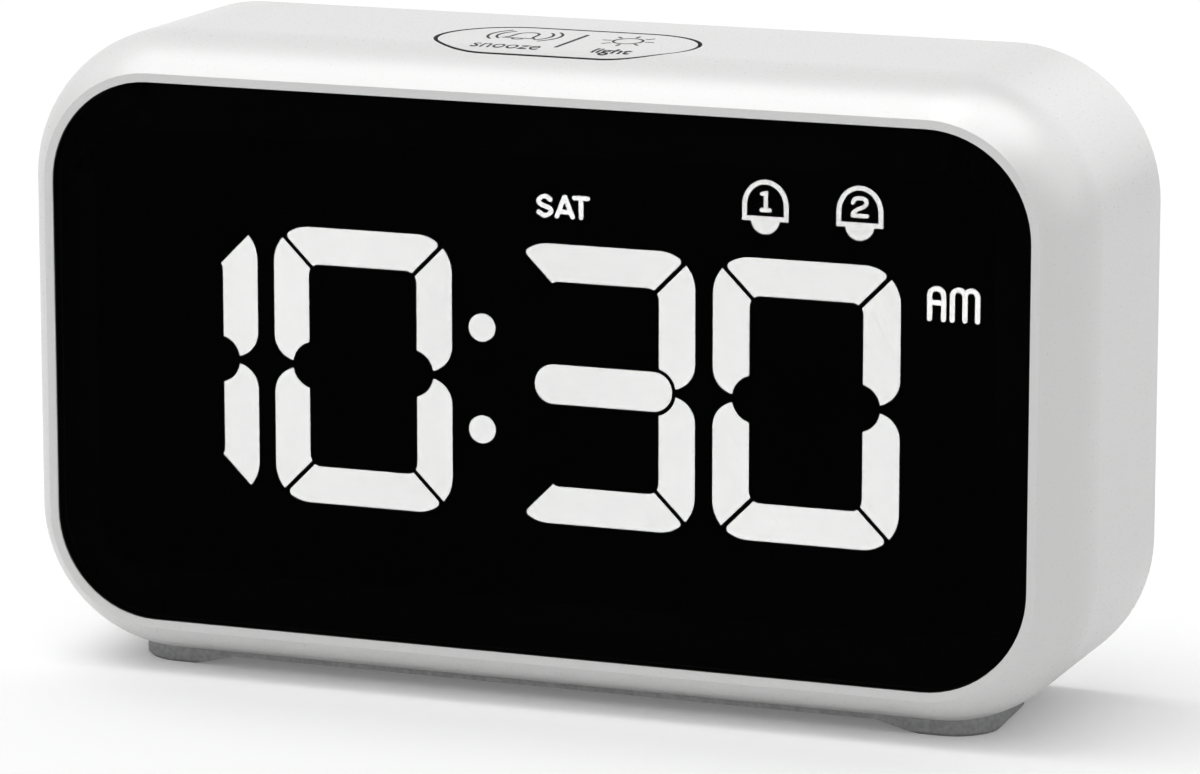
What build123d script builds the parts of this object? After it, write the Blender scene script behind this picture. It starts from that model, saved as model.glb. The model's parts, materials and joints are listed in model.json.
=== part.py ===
from build123d import *
import math
import os

# A battery alarm clock with a large seven segment display, sizes in millimetres.
# X runs to the right as the clock is read, Y from the front to the back, Z up from the table.

# Case
WIDTH = 150.0
HEIGHT = 85.9
DEPTH = 38.5
CORNER_R = 20.3
EDGE_R = 16.56
EDGE_ANGLE = 45.2
REAR_ROUND = 0.4
WALL = 2.0

# Base pad
FOOT_DROP = 1.6
PAD_SIDE = 13.0
PAD_FRONT = 7.25
PAD_TAPER = 1.3
PAD_CORNER_R = 6.6
PAD_SEAT = 0.9
PAD_STRIP_DROP = 0.1
PAD_BEVEL = 0.4
FOOT_L = 9.7
RAMP_L = 6.1
PEG_COUNT = 4
PEG_INSET = 6.2
PEG_R = 1.6
PEG_L = 1.8
PEG_FIT = 0.02

# Window
RING = 1.27
WINDOW_SINK = 0.26
WINDOW_T = 2.0
WINDOW_FIT = 0.08
WINDOW_BEVEL = 0.25
TAPE_T = 0.2
TAPE_MARGIN = 0.6
LEDGE_T = 1.6
VIEW_SIDE = 3.92
VIEW_TOP = 5.87
VIEW_R = 8.0

# Display cell and its light
LCD_LAP = 1.5
GLASS_T = 1.1
LCD_GAP = 0.2
SEAL_MARGIN = 0.3
SEAL_W = 0.8
CONTACT_EDGE = 2.8
GUIDE_T = 2.5
SHEET_T = 0.2
LED_STRIP_T = 0.8
LED_STRIP_END = 6.75
LED_T = 1.4
LED_L = 3.0
LED_EDGE = 0.3
LED_COUNT = 3
ZEBRA_END = 16.5
ZEBRA_T = 2.2
ZEBRA_FIT = 0.2

# Digits
DIGITS_LEFT = 18.8
DIGITS_RIGHT = 15.1
DIGITS_TOP = 13.2
DIGITS_FOOT = 11.1
DIGIT_SPACE = 2.55
COLON_STEP = 6.2
COLON_Z = 6.9
COLON_R = 1.88
STROKE = 5.0
STROKE_TIP_R = 0.6
MITRE_GAP = 0.65
HALF_GAP = 0.45
BAR_INDENT = 3.2
BAR_H = 5.3
BAR_GAP = 0.6
LOOP_R = 5.0
WAIST_R = 3.5
INNER_R = 1.6
READING = ("1", "0", "3", "0")
LIT = {
    "0": ("top", "upper_left", "upper_right", "lower_left", "lower_right", "bottom"),
    "1": ("upper_right", "lower_right"),
    "3": ("top", "upper_right", "bar", "lower_right", "bottom"),
}

# Display holder and main board
HOLDER_RIM = 1.6
HOLDER_R = 8.0
HOLDER_FIT = 0.2
HOLDER_BACK = 1.2
EAR_SIDE = 41.0
EAR_DROP = 5.75
EAR_R = 2.6
STANDOFF_H = 1.0
STANDOFF_R = 2.4
BOARD_SIDE = 3.5
BOARD_END = 0.3
BOARD_CORNER_R = 2.0
BOARD_T = 1.6
BOARD_SCREW_SIDE = 5.0
BOARD_SCREW_DROP = 6.2
CHIP_R = 7.0
CHIP_T = 1.6
CHIP_BEVEL = 1.0
CHIP_Z = 4.0
CRYSTAL_R = 1.0
CRYSTAL_L = 6.0
CRYSTAL_X = 14.0
CRYSTAL_Z = -4.0
CAPACITOR_R = 2.5
CAPACITOR_H = 7.0
CAPACITOR_PITCH = 7.0
CAPACITOR_COUNT = 2
CAPACITOR_CLEAR = 2.0
CAPACITOR_Z = -8.0

# Fasteners
SCREW_FIT = 0.02
SCREW_CLEAR = 0.1
HOLE_SPARE = 0.6
HEAD_FIT = 0.2
CASE_SCREW = {"head_r": 2.3, "head_t": 1.4, "shank_r": 1.2, "length": 10.0}
SMALL_SCREW = {"head_r": 1.9, "head_t": 1.1, "shank_r": 0.9, "length": 6.0}
SHORT_SCREW = {"head_r": 1.9, "head_t": 1.1, "shank_r": 0.9, "length": 2.8}

# Snooze button
SNOOZE_X = -1.1
SNOOZE_DEPTH = 17.4
SNOOZE_L = 35.8
SNOOZE_W = 19.7
SNOOZE_GAP = 0.5
SNOOZE_SINK = 0.03
SNOOZE_WALL = 1.6
SNOOZE_TRAVEL = 1.2
SNOOZE_BEVEL = 0.05
SNOOZE_EAR = 2.2
SNOOZE_EAR_W = 12.0
SNOOZE_EAR_T = 1.4
STOP_GAP = 0.05
PIN_INSET = 7.2
PIN_R = 1.5
PIN_FIT = 0.06
PIN_REACH = 1.0
COLLAR_R = 3.0
STEM_R = 2.2
SNOOZE_BOARD_W = 7.0
SNOOZE_BOARD_DROP = 7.75
SNOOZE_BOARD_END = 3.2
SNOOZE_BOSS_STEP = 3.4
SNOOZE_BOSS_R = 2.6
SPRING_R = 2.2
SPRING_WIRE_R = 0.25
SPRING_TURNS = 4

# Push switches
SWITCH_SIZE = 6.0
SWITCH_H = 3.2
PLUNGER_R = 1.6
PLUNGER_FIT = 0.1
PLUNGER_RISE = 1.3
PLUNGER_SUNK = 0.65
BORE_SPARE = 0.05

# Rear cover
COVER_SINK = 1.2
COVER_T = 2.4
COVER_FIT = 0.15
BOSS_SIDE = 21.0
BOSS_DROP = 5.55
BOSS_R = 3.0
WEB_T = 2.4

# Rear controls
KEYS = ("mode", "hour", "minute", "alarm")
KEY_R = 4.0
KEY_GAP = 0.25
KEY_FLANGE_R = 5.2
KEY_FLANGE_T = 1.1
KEY_PROUD = 0.8
KEY_BEVEL = 0.3
KEY_DISH = 0.3
KEY_DISH_R = 3.2
KEY_DISH_FLOOR_R = 2.2
KEY_TRAVEL = 0.8
KEY_BOARD_T = 1.0
KEY_BOARD_CLEAR = 1.0
KEY_BOARD_EDGE = 1.8
CONTROL_END = 8.0
KEY_POST_R = 2.0
KEY_POST_CLEAR = 0.2
SLIDE_TRAVEL = 2.0
SLIDE_FIT = 0.2
SLIDE_NECK_L = 5.0
SLIDE_NECK_W = 3.2
SLIDE_GRIP_L = 7.0
SLIDE_GRIP_W = 5.0
SLIDE_BEVEL = 0.2
SLIDE_GROOVES = 3
SLIDE_GROOVE_W = 0.7
SLIDE_GROOVE_D = 0.35
SLIDE_GROOVE_PITCH = 1.7
SLIDE_FLANGE_LAP = 0.3
SLIDE_FLANGE_W = 7.0
SLIDE_FLANGE_T = 0.9
SLIDE_BODY_L = 11.0
SLIDE_BODY_W = 5.5
SLIDE_BODY_H = 4.0
SLIDE_BODY_SLOT = 2.0
LEVER = 2.0
LEVER_SUNK = 1.8
LEVER_GRIP = 0.4

# Battery bay and door
CELL_R = 5.25
CELL_L = 44.5
NUB_R = 1.9
NUB_L = 1.1
CELL_COUNT = 3
CELL_SPACE = 0.7
CELL_FIT = 0.75
BAY_SPARE = 0.8
BAY_FOOT = 5.0
BAY_WALL = 1.2
RIDGE_HALF = 1.6
RIDGE_H = 2.2
RIDGE_END = 8.0
CONTACT_T = 0.4
CONTACT_SPACE = 2.2
CONTACT_TOP = 0.5
TAIL_W = 3.0
TAIL_L = 2.0
TAIL_FIT = 0.1
CELL_SPRING_L = 6.7
CELL_SPRING_R = 3.2
CELL_SPRING_WIRE_R = 0.4
CELL_SPRING_TURNS = 3
DOOR_LAP = 2.6
DOOR_T = 1.8
DOOR_FOOT = 4.8
DOOR_HEAD = 3.4
DOOR_GAP = 0.2
HINGE_R = 1.1
HINGE_PIN_R = 0.7
HINGE_PIN_L = 1.3
HINGE_FIT = 0.06
HINGE_BLOCK_SIDE = 4.0
HINGE_BLOCK_H = 5.0
DOOR_RIB_X = 12.0
DOOR_RIB_T = 1.2
DOOR_RIB_H = 0.6
DOOR_RIB_END = 1.0
TONGUE_W = 14.0
TONGUE_L = 9.0
SLIT = 0.7
GRIP_R = 0.4
GRIP_COUNT = 3
GRIP_PITCH = 1.8
GRIP_DROP = 2.5
GRIP_END = 1.0
SCOOP_R = 8.0
SCOOP_DEPTH = 1.2

# Sounder
BUZZER_R = 13.2
BUZZER_T = 0.3
BUZZER_RISE = 4.8
CERAMIC_R = 9.0
CERAMIC_T = 0.25
RIB_LAP = 0.8
RIB_STEP = 0.6
RIB_H = 2.5
SLOT_COUNT = 5
SLOT_W = 2.0
SLOT_PITCH = 3.8
SLOT_MARGIN = 2.0

# Wiring
WIRE_R = 0.55
WIRE_BEND = 0.4
BATTERY_WIRE_STEP = 4.0
BUZZER_WIRE_STEP = 5.0
BUZZER_WIRE_SPACE = 2.0
SNOOZE_WIRE_X = 4.0
SNOOZE_WIRE_SPACE = 3.0
SNOOZE_WIRE_DROP = 7.0
RIBBON_X = 8.0
RIBBON_W = 12.0
RIBBON_T = 0.8
RIBBON_START = 3.0
RIBBON_DROP = 5.0

# Places worked out from the sizes above: depths run from the front ring, heights from mid window
FRONT_Y = -DEPTH / 2
MID_Z = FOOT_DROP + HEIGHT / 2
EDGE_DEPTH = EDGE_R * math.cos(math.radians(EDGE_ANGLE))
EDGE_INSET = EDGE_R * (1 - math.sin(math.radians(EDGE_ANGLE)))
EDGE_LEAD = EDGE_R - EDGE_DEPTH
INNER_TOP = HEIGHT / 2 - WALL

PAD_HALF = WIDTH / 2 - PAD_SIDE
FOOT_INNER = PAD_HALF - FOOT_L
RAMP_INNER = FOOT_INNER - RAMP_L
PEG_REACH = RAMP_INNER - PEG_INSET
PEG_STEP = 2 * PEG_REACH / (PEG_COUNT - 1)
PEG_X = [i * PEG_STEP - PEG_REACH for i in range(PEG_COUNT)]

WINDOW_W = WIDTH - 2 * (EDGE_INSET + RING)
WINDOW_H = HEIGHT - 2 * (EDGE_INSET + RING)
WINDOW_R = CORNER_R - EDGE_INSET - RING
VIEW_W = WINDOW_W - 2 * VIEW_SIDE
VIEW_H = WINDOW_H - 2 * VIEW_TOP
LCD_W = VIEW_W + 2 * LCD_LAP
LCD_H = VIEW_H + 2 * LCD_LAP

# The first place only ever shows a one, so it is one stroke wide
WIDE_DIGITS = len(READING) - 1
DIGITS_W = VIEW_W - DIGITS_LEFT - DIGITS_RIGHT
DIGIT_W = (DIGITS_W - STROKE - COLON_STEP) / WIDE_DIGITS - DIGIT_SPACE
DIGIT_PITCH = DIGIT_W + DIGIT_SPACE
DIGIT_H = VIEW_H - DIGITS_TOP - DIGITS_FOOT
DIGITS_Z = (DIGITS_FOOT - DIGITS_TOP) / 2
LAST_DIGIT_X = VIEW_W / 2 - DIGITS_RIGHT - DIGIT_W / 2
COLON_X = LAST_DIGIT_X - 1.5 * DIGIT_PITCH - COLON_STEP / 2
BAR_L = DIGIT_W - 2 * BAR_INDENT

D_WINDOW = WINDOW_SINK + WINDOW_T
D_TAPE = D_WINDOW + TAPE_T
D_LEDGE = D_TAPE + LEDGE_T
D_GLASS = D_LEDGE + GLASS_T
D_CELL = D_GLASS + LCD_GAP
D_REAR_GLASS = D_CELL + GLASS_T
D_GUIDE = D_REAR_GLASS + GUIDE_T
D_SHEET = D_GUIDE + SHEET_T
D_HOLDER = D_SHEET + HOLDER_BACK
D_BOARD = D_HOLDER + STANDOFF_H
D_BOARD_BACK = D_BOARD + BOARD_T

REAR_GLASS_H = LCD_H - CONTACT_EDGE
REAR_GLASS_Z = -CONTACT_EDGE / 2
POCKET_W = LCD_W + 2 * HOLDER_FIT
POCKET_H = LCD_H + 2 * HOLDER_FIT
GUIDE_W = POCKET_W - 2 * (LED_STRIP_T + LED_T)
LED_STRIP_L = REAR_GLASS_H - 2 * LED_STRIP_END
ZEBRA_L = LCD_W - 2 * ZEBRA_END
ZEBRA_Z = LCD_H / 2 - CONTACT_EDGE / 2
EAR_X = WIDTH / 2 - EAR_SIDE
EAR_Z = HEIGHT / 2 - EAR_DROP
BOARD_W = LCD_W - 2 * BOARD_SIDE
BOARD_H = LCD_H - 2 * BOARD_END
BOARD_SCREW_X = BOARD_W / 2 - BOARD_SCREW_SIDE
BOARD_SCREW_Z = BOARD_H / 2 - BOARD_SCREW_DROP

COVER_W = WIDTH - 2 * (WALL + COVER_FIT)
COVER_H = HEIGHT - 2 * (WALL + COVER_FIT)
D_COVER_BACK = DEPTH - COVER_SINK
D_COVER = D_COVER_BACK - COVER_T
BOSS_X = WIDTH / 2 - BOSS_SIDE
BOSS_Z = HEIGHT / 2 - BOSS_DROP

SNOOZE_BOARD_TOP = INNER_TOP - SNOOZE_BOARD_DROP
SNOOZE_BOARD_LOW = SNOOZE_BOARD_TOP - BOARD_T
SNOOZE_SWITCH_TOP = SNOOZE_BOARD_TOP + SWITCH_H
SNOOZE_STEM_END = SNOOZE_SWITCH_TOP + PLUNGER_RISE
SNOOZE_EAR_TOP = INNER_TOP - STOP_GAP
SNOOZE_SKIRT = SNOOZE_EAR_TOP - SNOOZE_EAR_T
SNOOZE_CEILING = HEIGHT / 2 - SNOOZE_SINK - SNOOZE_WALL
PIN_X = [SNOOZE_X + side * (SNOOZE_L / 2 - PIN_INSET) for side in (-1, 1)]
SNOOZE_BOSS_REACH = SNOOZE_L / 2 + SNOOZE_EAR + SNOOZE_BOSS_STEP
SNOOZE_BOSS_X = [SNOOZE_X + side * SNOOZE_BOSS_REACH for side in (-1, 1)]
SNOOZE_BOARD_L = 2 * (SNOOZE_BOSS_REACH + SNOOZE_BOARD_END)

CELL_PITCH = 2 * CELL_R + CELL_SPACE
BAY_W = CELL_L + CELL_SPRING_L + 2 * CONTACT_T
BAY_H = (CELL_COUNT - 1) * CELL_PITCH + 2 * (CELL_R + CELL_FIT)
BAY_DEPTH = 2 * CELL_R + BAY_SPARE
TRAY_W = BAY_W + 2 * BAY_WALL
TRAY_H = BAY_H + 2 * BAY_WALL
DOOR_W = BAY_W + 2 * DOOR_LAP
DOOR_LOW = BAY_FOOT - COVER_H / 2
BAY_Z = DOOR_LOW + DOOR_FOOT + BAY_H / 2
DOOR_TOP = BAY_Z + BAY_H / 2 + DOOR_HEAD
D_DOOR = D_COVER_BACK - DOOR_T
D_BAY_FLOOR = D_DOOR - BAY_DEPTH
D_TAIL = D_BAY_FLOOR - BAY_WALL - TAIL_L
D_CELL_AXIS = D_BAY_FLOOR + CELL_R
D_HINGE = D_COVER_BACK - HINGE_R
HINGE_Z = DOOR_LOW + HINGE_R
CELLS_Z = [BAY_Z + ((CELL_COUNT - 1) / 2 - i) * CELL_PITCH for i in range(CELL_COUNT)]
CONTACT_X = BAY_W / 2 - CONTACT_T
CONTACT_W = CELL_PITCH - CONTACT_SPACE

D_KEY_FLANGE = D_COVER - STOP_GAP - KEY_FLANGE_T
D_KEY_SWITCH = D_KEY_FLANGE - PLUNGER_RISE
D_KEY_BOARD = D_KEY_SWITCH - SWITCH_H
D_KEY_BOARD_FRONT = D_KEY_BOARD - KEY_BOARD_T
D_PROUD = D_COVER_BACK + KEY_PROUD
KEY_Z = (DOOR_TOP + COVER_H / 2) / 2
KEY_POST_DROP = SLIDE_FLANGE_W / 2 + KEY_POST_R + KEY_POST_CLEAR
KEY_POST_Z = KEY_Z - KEY_POST_DROP
KEY_BOARD_W = 2 * (BOSS_X - BOSS_R - KEY_BOARD_CLEAR)
KEY_BOARD_H = 2 * (KEY_POST_DROP + KEY_BOARD_EDGE)
KEY_PITCH = (KEY_BOARD_W - 2 * CONTROL_END) / len(KEYS)
CONTROLS_X = [(i - 2) * KEY_PITCH for i in range(len(KEYS) + 1)]
SLIDE_X = CONTROLS_X[-1]
KEY_POST_X = [side * 1.5 * KEY_PITCH for side in (-1, 1)]
SLIDE_SLOT_L = SLIDE_NECK_L + 2 * (SLIDE_TRAVEL + SLIDE_FIT)
SLIDE_FLANGE_L = SLIDE_SLOT_L + 2 * (SLIDE_TRAVEL + SLIDE_FLANGE_LAP)

RIB_IN_R = BUZZER_R - RIB_LAP
RIB_OUT_R = BUZZER_R + RIB_STEP
BUZZER_X = -(DOOR_W / 2 + DOOR_GAP + COVER_W / 2) / 2
BUZZER_Z = BAY_Z + BUZZER_RISE
D_BUZZER = D_COVER - RIB_H - BUZZER_T


def front_plane(depth):
    """Plane facing the reader at a depth behind the front ring, centred on the window."""
    return Plane(origin=(0, FRONT_Y + depth, MID_Z), x_dir=(1, 0, 0), z_dir=(0, -1, 0))


def slab(shape, near, far):
    """Solid of a front view outline between two depths."""
    return extrude(front_plane(far) * shape, amount=far - near)


def prism(shape, low, high):
    """Solid of a plan outline between two heights above or below the middle of the window."""
    return extrude(Plane.XY.offset(MID_Z + low) * shape, amount=high - low)


def plan(x, depth):
    """Place in a plan outline."""
    return Pos(x, FRONT_Y + depth)


def rod(x, z, radius, near, far):
    """Cylinder that runs from front to back."""
    return slab(Pos(x, z) * Circle(radius), near, far)


def post(x, depth, radius, low, high):
    """Upright cylinder."""
    return prism(plan(x, depth) * Circle(radius), low, high)


def cross_rod(depth, z, radius, left, right):
    """Cylinder that runs from left to right."""
    plane = Plane(origin=(left, FRONT_Y + depth, MID_Z + z), x_dir=(0, 1, 0), z_dir=(1, 0, 0))
    return extrude(plane * Circle(radius), amount=right - left)


def brick(x, z, width, height, near, far):
    """Rectangular block seen from the front."""
    return slab(Pos(x, z) * Rectangle(width, height), near, far)


def point(x, depth, z):
    """Point in space from its distance across, depth and height."""
    return Vector(x, FRONT_Y + depth, MID_Z + z)


def corners(x, z):
    """The four places that mirror one place about the middle of the window."""
    return [(sx * x, sz * z) for sx in (-1, 1) for sz in (-1, 1)]


def screw(kind, place, direction):
    """Pan head screw: head at the place, shank along the direction."""
    plane = Plane(origin=place, z_dir=direction)
    head = extrude(plane * Circle(kind["head_r"]), amount=-kind["head_t"])
    shank = extrude(plane * Circle(kind["shank_r"] - SCREW_FIT), amount=kind["length"])
    return head + shank


def coil(start, direction, length, radius, wire_r, turns):
    """Compression spring whose wire starts and ends inside the given length."""
    rise = length - 2 * wire_r
    base = start + direction * wire_r
    path = Helix(pitch=rise / turns, height=rise, radius=radius, center=base, direction=direction)
    section = RegularPolygon(wire_r, 4)
    return sweep(Plane(origin=path @ 0, z_dir=path % 0) * section, path=path)


def bent_path(*points):
    """Straight runs joined by arcs that are as large as the shortest run allows."""
    shortest = min((b - a).length for a, b in zip(points, points[1:]))
    return FilletPolyline(*points, radius=WIRE_BEND * shortest)


def joggle(start, end):
    """Path that runs to the front, steps across halfway and runs on to the front."""
    half = (start.Y + end.Y) / 2
    return bent_path(start, Vector(start.X, half, start.Z), Vector(end.X, half, end.Z), end)


def wire(path):
    """Insulated wire along a path."""
    section = RegularPolygon(WIRE_R, 6)
    return sweep(Plane(origin=path @ 0, z_dir=path % 0) * section, path=path)


# Case and base
def case_form(inset):
    """Outer form of the case, drawn in by an inset, with its full front rounding."""
    outline = RectangleRounded(WIDTH - 2 * inset, HEIGHT - 2 * inset, CORNER_R - inset)
    block = slab(outline, inset - EDGE_LEAD, DEPTH)
    front = block.faces().sort_by(Axis.Y)[0]
    return fillet(front.edges(), EDGE_R - inset)


def pad_outline():
    """Plan of the base pad: straight front, ends drawn in towards the back."""
    front = FRONT_Y + PAD_FRONT
    back = -front
    rear_half = PAD_HALF - PAD_TAPER
    path = [(-PAD_HALF, front), (PAD_HALF, front), (rear_half, back), (-rear_half, back)]
    face = make_face(Polyline(*path, close=True))
    return fillet(face.vertices(), PAD_CORNER_R)


def pad_block():
    """Space of the base pad, let into the rounded underside of the case by its seat depth."""
    low = -HEIGHT / 2 - FOOT_DROP
    return prism(pad_outline(), low, low + EDGE_R) - case_form(PAD_SEAT)


def snooze_outline(grow=0.0):
    """Plan of the snooze button."""
    return plan(SNOOZE_X, SNOOZE_DEPTH) * SlotOverall(SNOOZE_L + 2 * grow, SNOOZE_W + 2 * grow)


def snooze_rim(solid, grow=0.0):
    """Edges of a solid that follow the snooze outline on the outer skin of the case."""
    straight = (SNOOZE_L - SNOOZE_W) / 2
    radius = SNOOZE_W / 2 + grow

    def on_rim(edge):
        middle = edge.position_at(0.5)
        across = max(abs(middle.X - SNOOZE_X) - straight, 0)
        along = middle.Y - FRONT_Y - SNOOZE_DEPTH
        level = abs(edge.tangent_at(0.5).Z) < 0.5
        outside = middle.Z > MID_Z + INNER_TOP + WALL / 4
        return level and outside and abs(math.hypot(across, along) - radius) < 0.01

    return solid.edges().filter_by(on_rim)


def main_housing():
    """One piece sleeve with a rounded front edge, a window seat and moulded bosses."""
    around = Rectangle(WIDTH, HEIGHT)
    body = case_form(0) & slab(around, 0, DEPTH)
    body = fillet(body.faces().sort_by(Axis.Y)[-1].edges(), REAR_ROUND)
    body -= case_form(WALL) & slab(around, D_LEDGE, DEPTH)
    seat = RectangleRounded(WINDOW_W + 2 * WINDOW_FIT, WINDOW_H + 2 * WINDOW_FIT, WINDOW_R + WINDOW_FIT)
    body -= slab(seat, 0, D_TAPE)
    body -= slab(RectangleRounded(VIEW_W, VIEW_H, VIEW_R), D_TAPE, D_LEDGE)
    body -= prism(snooze_outline(SNOOZE_GAP), SNOOZE_SKIRT, HEIGHT / 2)
    body = chamfer(snooze_rim(body, SNOOZE_GAP), SNOOZE_BEVEL)

    hole_end = D_COVER_BACK - CASE_SCREW["head_t"] - CASE_SCREW["length"] - HOLE_SPARE
    for x, z in corners(BOSS_X, BOSS_Z):
        boss = rod(x, z, BOSS_R, D_TAPE, D_COVER)
        web = brick(x, z + math.copysign(BOSS_DROP / 2, z), WEB_T, BOSS_DROP, D_TAPE, D_COVER)
        body += (boss + web) & case_form(WALL / 2)
        body -= rod(x, z, CASE_SCREW["shank_r"], hole_end, D_COVER)
    hole_end = D_HOLDER - SMALL_SCREW["length"] - HOLE_SPARE
    for x, z in corners(EAR_X, EAR_Z):
        body += rod(x, z, EAR_R, D_TAPE, D_SHEET) & case_form(WALL / 2)
        body -= rod(x, z, SMALL_SCREW["shank_r"], hole_end, D_SHEET)
    hole_end = SNOOZE_BOARD_LOW + SMALL_SCREW["length"] + HOLE_SPARE
    for x in SNOOZE_BOSS_X:
        body += post(x, SNOOZE_DEPTH, SNOOZE_BOSS_R, SNOOZE_BOARD_TOP, INNER_TOP + WALL / 2)
        body -= post(x, SNOOZE_DEPTH, SMALL_SCREW["shank_r"], SNOOZE_BOARD_TOP, hole_end)

    body -= pad_block()
    for x in PEG_X:
        body -= post(x, DEPTH / 2, PEG_R, PAD_SEAT - HEIGHT / 2, WALL - HEIGHT / 2)
    return body


def base_pad():
    """Rubber inlay with a foot at each end, a raised strip between them and four pegs."""
    low = -HEIGHT / 2 - FOOT_DROP
    strip = -HEIGHT / 2 - PAD_STRIP_DROP
    pad = pad_block()
    arch = [(-FOOT_INNER, low), (-RAMP_INNER, strip), (RAMP_INNER, strip), (FOOT_INNER, low)]
    pad -= slab(make_face(Polyline(*arch, close=True)), 0, DEPTH)
    soles = pad.faces().filter_by(Plane.XY).sort_by(Axis.Z)[:2]
    outer_edges = soles.edges().filter_by(lambda edge: abs(edge.center().X) > FOOT_INNER + PAD_BEVEL)
    pad = chamfer(outer_edges, PAD_BEVEL)
    for x in PEG_X:
        pad += post(x, DEPTH / 2, PEG_R - PEG_FIT, PAD_SEAT - HEIGHT / 2, PAD_SEAT + PEG_L - HEIGHT / 2)
    return pad


# Window and display
def front_window():
    """Tinted acrylic window, glued a little below the ring."""
    pane = slab(RectangleRounded(WINDOW_W, WINDOW_H, WINDOW_R), WINDOW_SINK, D_WINDOW)
    return chamfer(pane.faces().sort_by(Axis.Y)[0].edges(), WINDOW_BEVEL)


def window_tape():
    """Adhesive frame between the window and its seat."""
    outer = RectangleRounded(WINDOW_W - TAPE_MARGIN, WINDOW_H - TAPE_MARGIN, WINDOW_R - TAPE_MARGIN / 2)
    inner = RectangleRounded(VIEW_W + TAPE_MARGIN, VIEW_H + TAPE_MARGIN, VIEW_R + TAPE_MARGIN / 2)
    return slab(outer - inner, D_WINDOW, D_TAPE)


def lcd_front_glass():
    """Front pane of the display, longer at the top for its contacts."""
    return brick(0, 0, LCD_W, LCD_H, D_LEDGE, D_GLASS)


def lcd_rear_glass():
    """Rear pane of the display."""
    return brick(0, REAR_GLASS_Z, LCD_W, REAR_GLASS_H, D_CELL, D_REAR_GLASS)


def lcd_seal():
    """Seal that holds the two panes apart."""
    width = LCD_W - 2 * SEAL_MARGIN
    height = REAR_GLASS_H - 2 * SEAL_MARGIN
    frame = Rectangle(width, height) - Rectangle(width - 2 * SEAL_W, height - 2 * SEAL_W)
    return slab(Pos(0, REAR_GLASS_Z) * frame, D_GLASS, D_CELL)


def half_loop():
    """Upper half of a digit as three strokes, cut apart at its mitres and round the bar."""
    half_w = DIGIT_W / 2
    top = DIGIT_H / 2
    loop = make_face(Polyline(
        (-half_w, HALF_GAP), (half_w, HALF_GAP), (half_w, top), (-half_w, top), close=True))
    loop = fillet(loop.vertices().group_by(Axis.Y)[0], WAIST_R)
    loop = fillet(loop.vertices().filter_by(lambda v: v.Y > top - 1 and abs(v.X) > half_w - 1), LOOP_R)
    hole_h = 2 * (top - STROKE)
    loop -= RectangleRounded(DIGIT_W - 2 * STROKE, hole_h, INNER_R)
    for side in (-1, 1):
        loop -= Pos(side * half_w, top) * Rot(0, 0, side * 45) * Rectangle(4 * STROKE, MITRE_GAP)
    loop -= SlotOverall(BAR_L + 2 * BAR_GAP, BAR_H + 2 * BAR_GAP)
    tips = loop.faces().sort_by(Axis.X)[1].vertices().sort_by(Axis.X)
    return fillet([tips[0], tips[-1]], STROKE_TIP_R)


def digit_strokes():
    """The seven strokes of a digit, by name."""
    left, top, right = half_loop().faces().sort_by(Axis.X)
    upper = {"upper_left": left, "top": top, "upper_right": right}
    opposite = {"upper_left": "lower_right", "top": "bottom", "upper_right": "lower_left"}
    strokes = {"bar": SlotOverall(BAR_L, BAR_H)}
    for name, face in upper.items():
        strokes[name] = face
        strokes[opposite[name]] = Rot(0, 0, 180) * face
    return strokes


def lcd_segments():
    """Lit strokes of the time shown, with the two dots of the colon."""
    strokes = digit_strokes()
    solids = []
    for place, digit in enumerate(reversed(READING)):
        x = LAST_DIGIT_X - place * DIGIT_PITCH
        if place >= 2:
            x -= COLON_STEP
        for name in LIT[digit]:
            solids += slab(Pos(x, DIGITS_Z) * strokes[name], D_GLASS, D_CELL).solids()
    for z in (-COLON_Z, COLON_Z):
        solids += rod(COLON_X, DIGITS_Z + z, COLON_R, D_GLASS, D_CELL).solids()
    return Compound(solids)


def light_guide():
    """Clear plate that spreads the light behind the display."""
    return brick(0, REAR_GLASS_Z, GUIDE_W, REAR_GLASS_H, D_REAR_GLASS, D_GUIDE)


def reflector_sheet():
    """White sheet behind the light guide."""
    return brick(0, REAR_GLASS_Z, GUIDE_W, REAR_GLASS_H, D_GUIDE, D_SHEET)


def led_strips():
    """Two narrow lamp boards on the side walls of the holder."""
    x = POCKET_W / 2 - LED_STRIP_T / 2
    solids = []
    for side in (-1, 1):
        solids += brick(side * x, REAR_GLASS_Z, LED_STRIP_T, LED_STRIP_L, D_REAR_GLASS, D_SHEET).solids()
    return Compound(solids)


def backlight_leds():
    """Side lamps that face the edges of the light guide."""
    x = GUIDE_W / 2 + LED_T / 2
    solids = []
    for side in (-1, 1):
        for i in range(LED_COUNT):
            z = REAR_GLASS_Z + (i - (LED_COUNT - 1) / 2) * LED_STRIP_L / LED_COUNT
            lamp = brick(side * x, z, LED_T, LED_L, D_REAR_GLASS + LED_EDGE, D_GUIDE - LED_EDGE)
            solids += lamp.solids()
    return Compound(solids)


def zebra_strip():
    """Rubber connector from the contact edge of the glass to the main board."""
    return brick(0, ZEBRA_Z, ZEBRA_L, ZEBRA_T, D_GLASS, D_BOARD)


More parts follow.
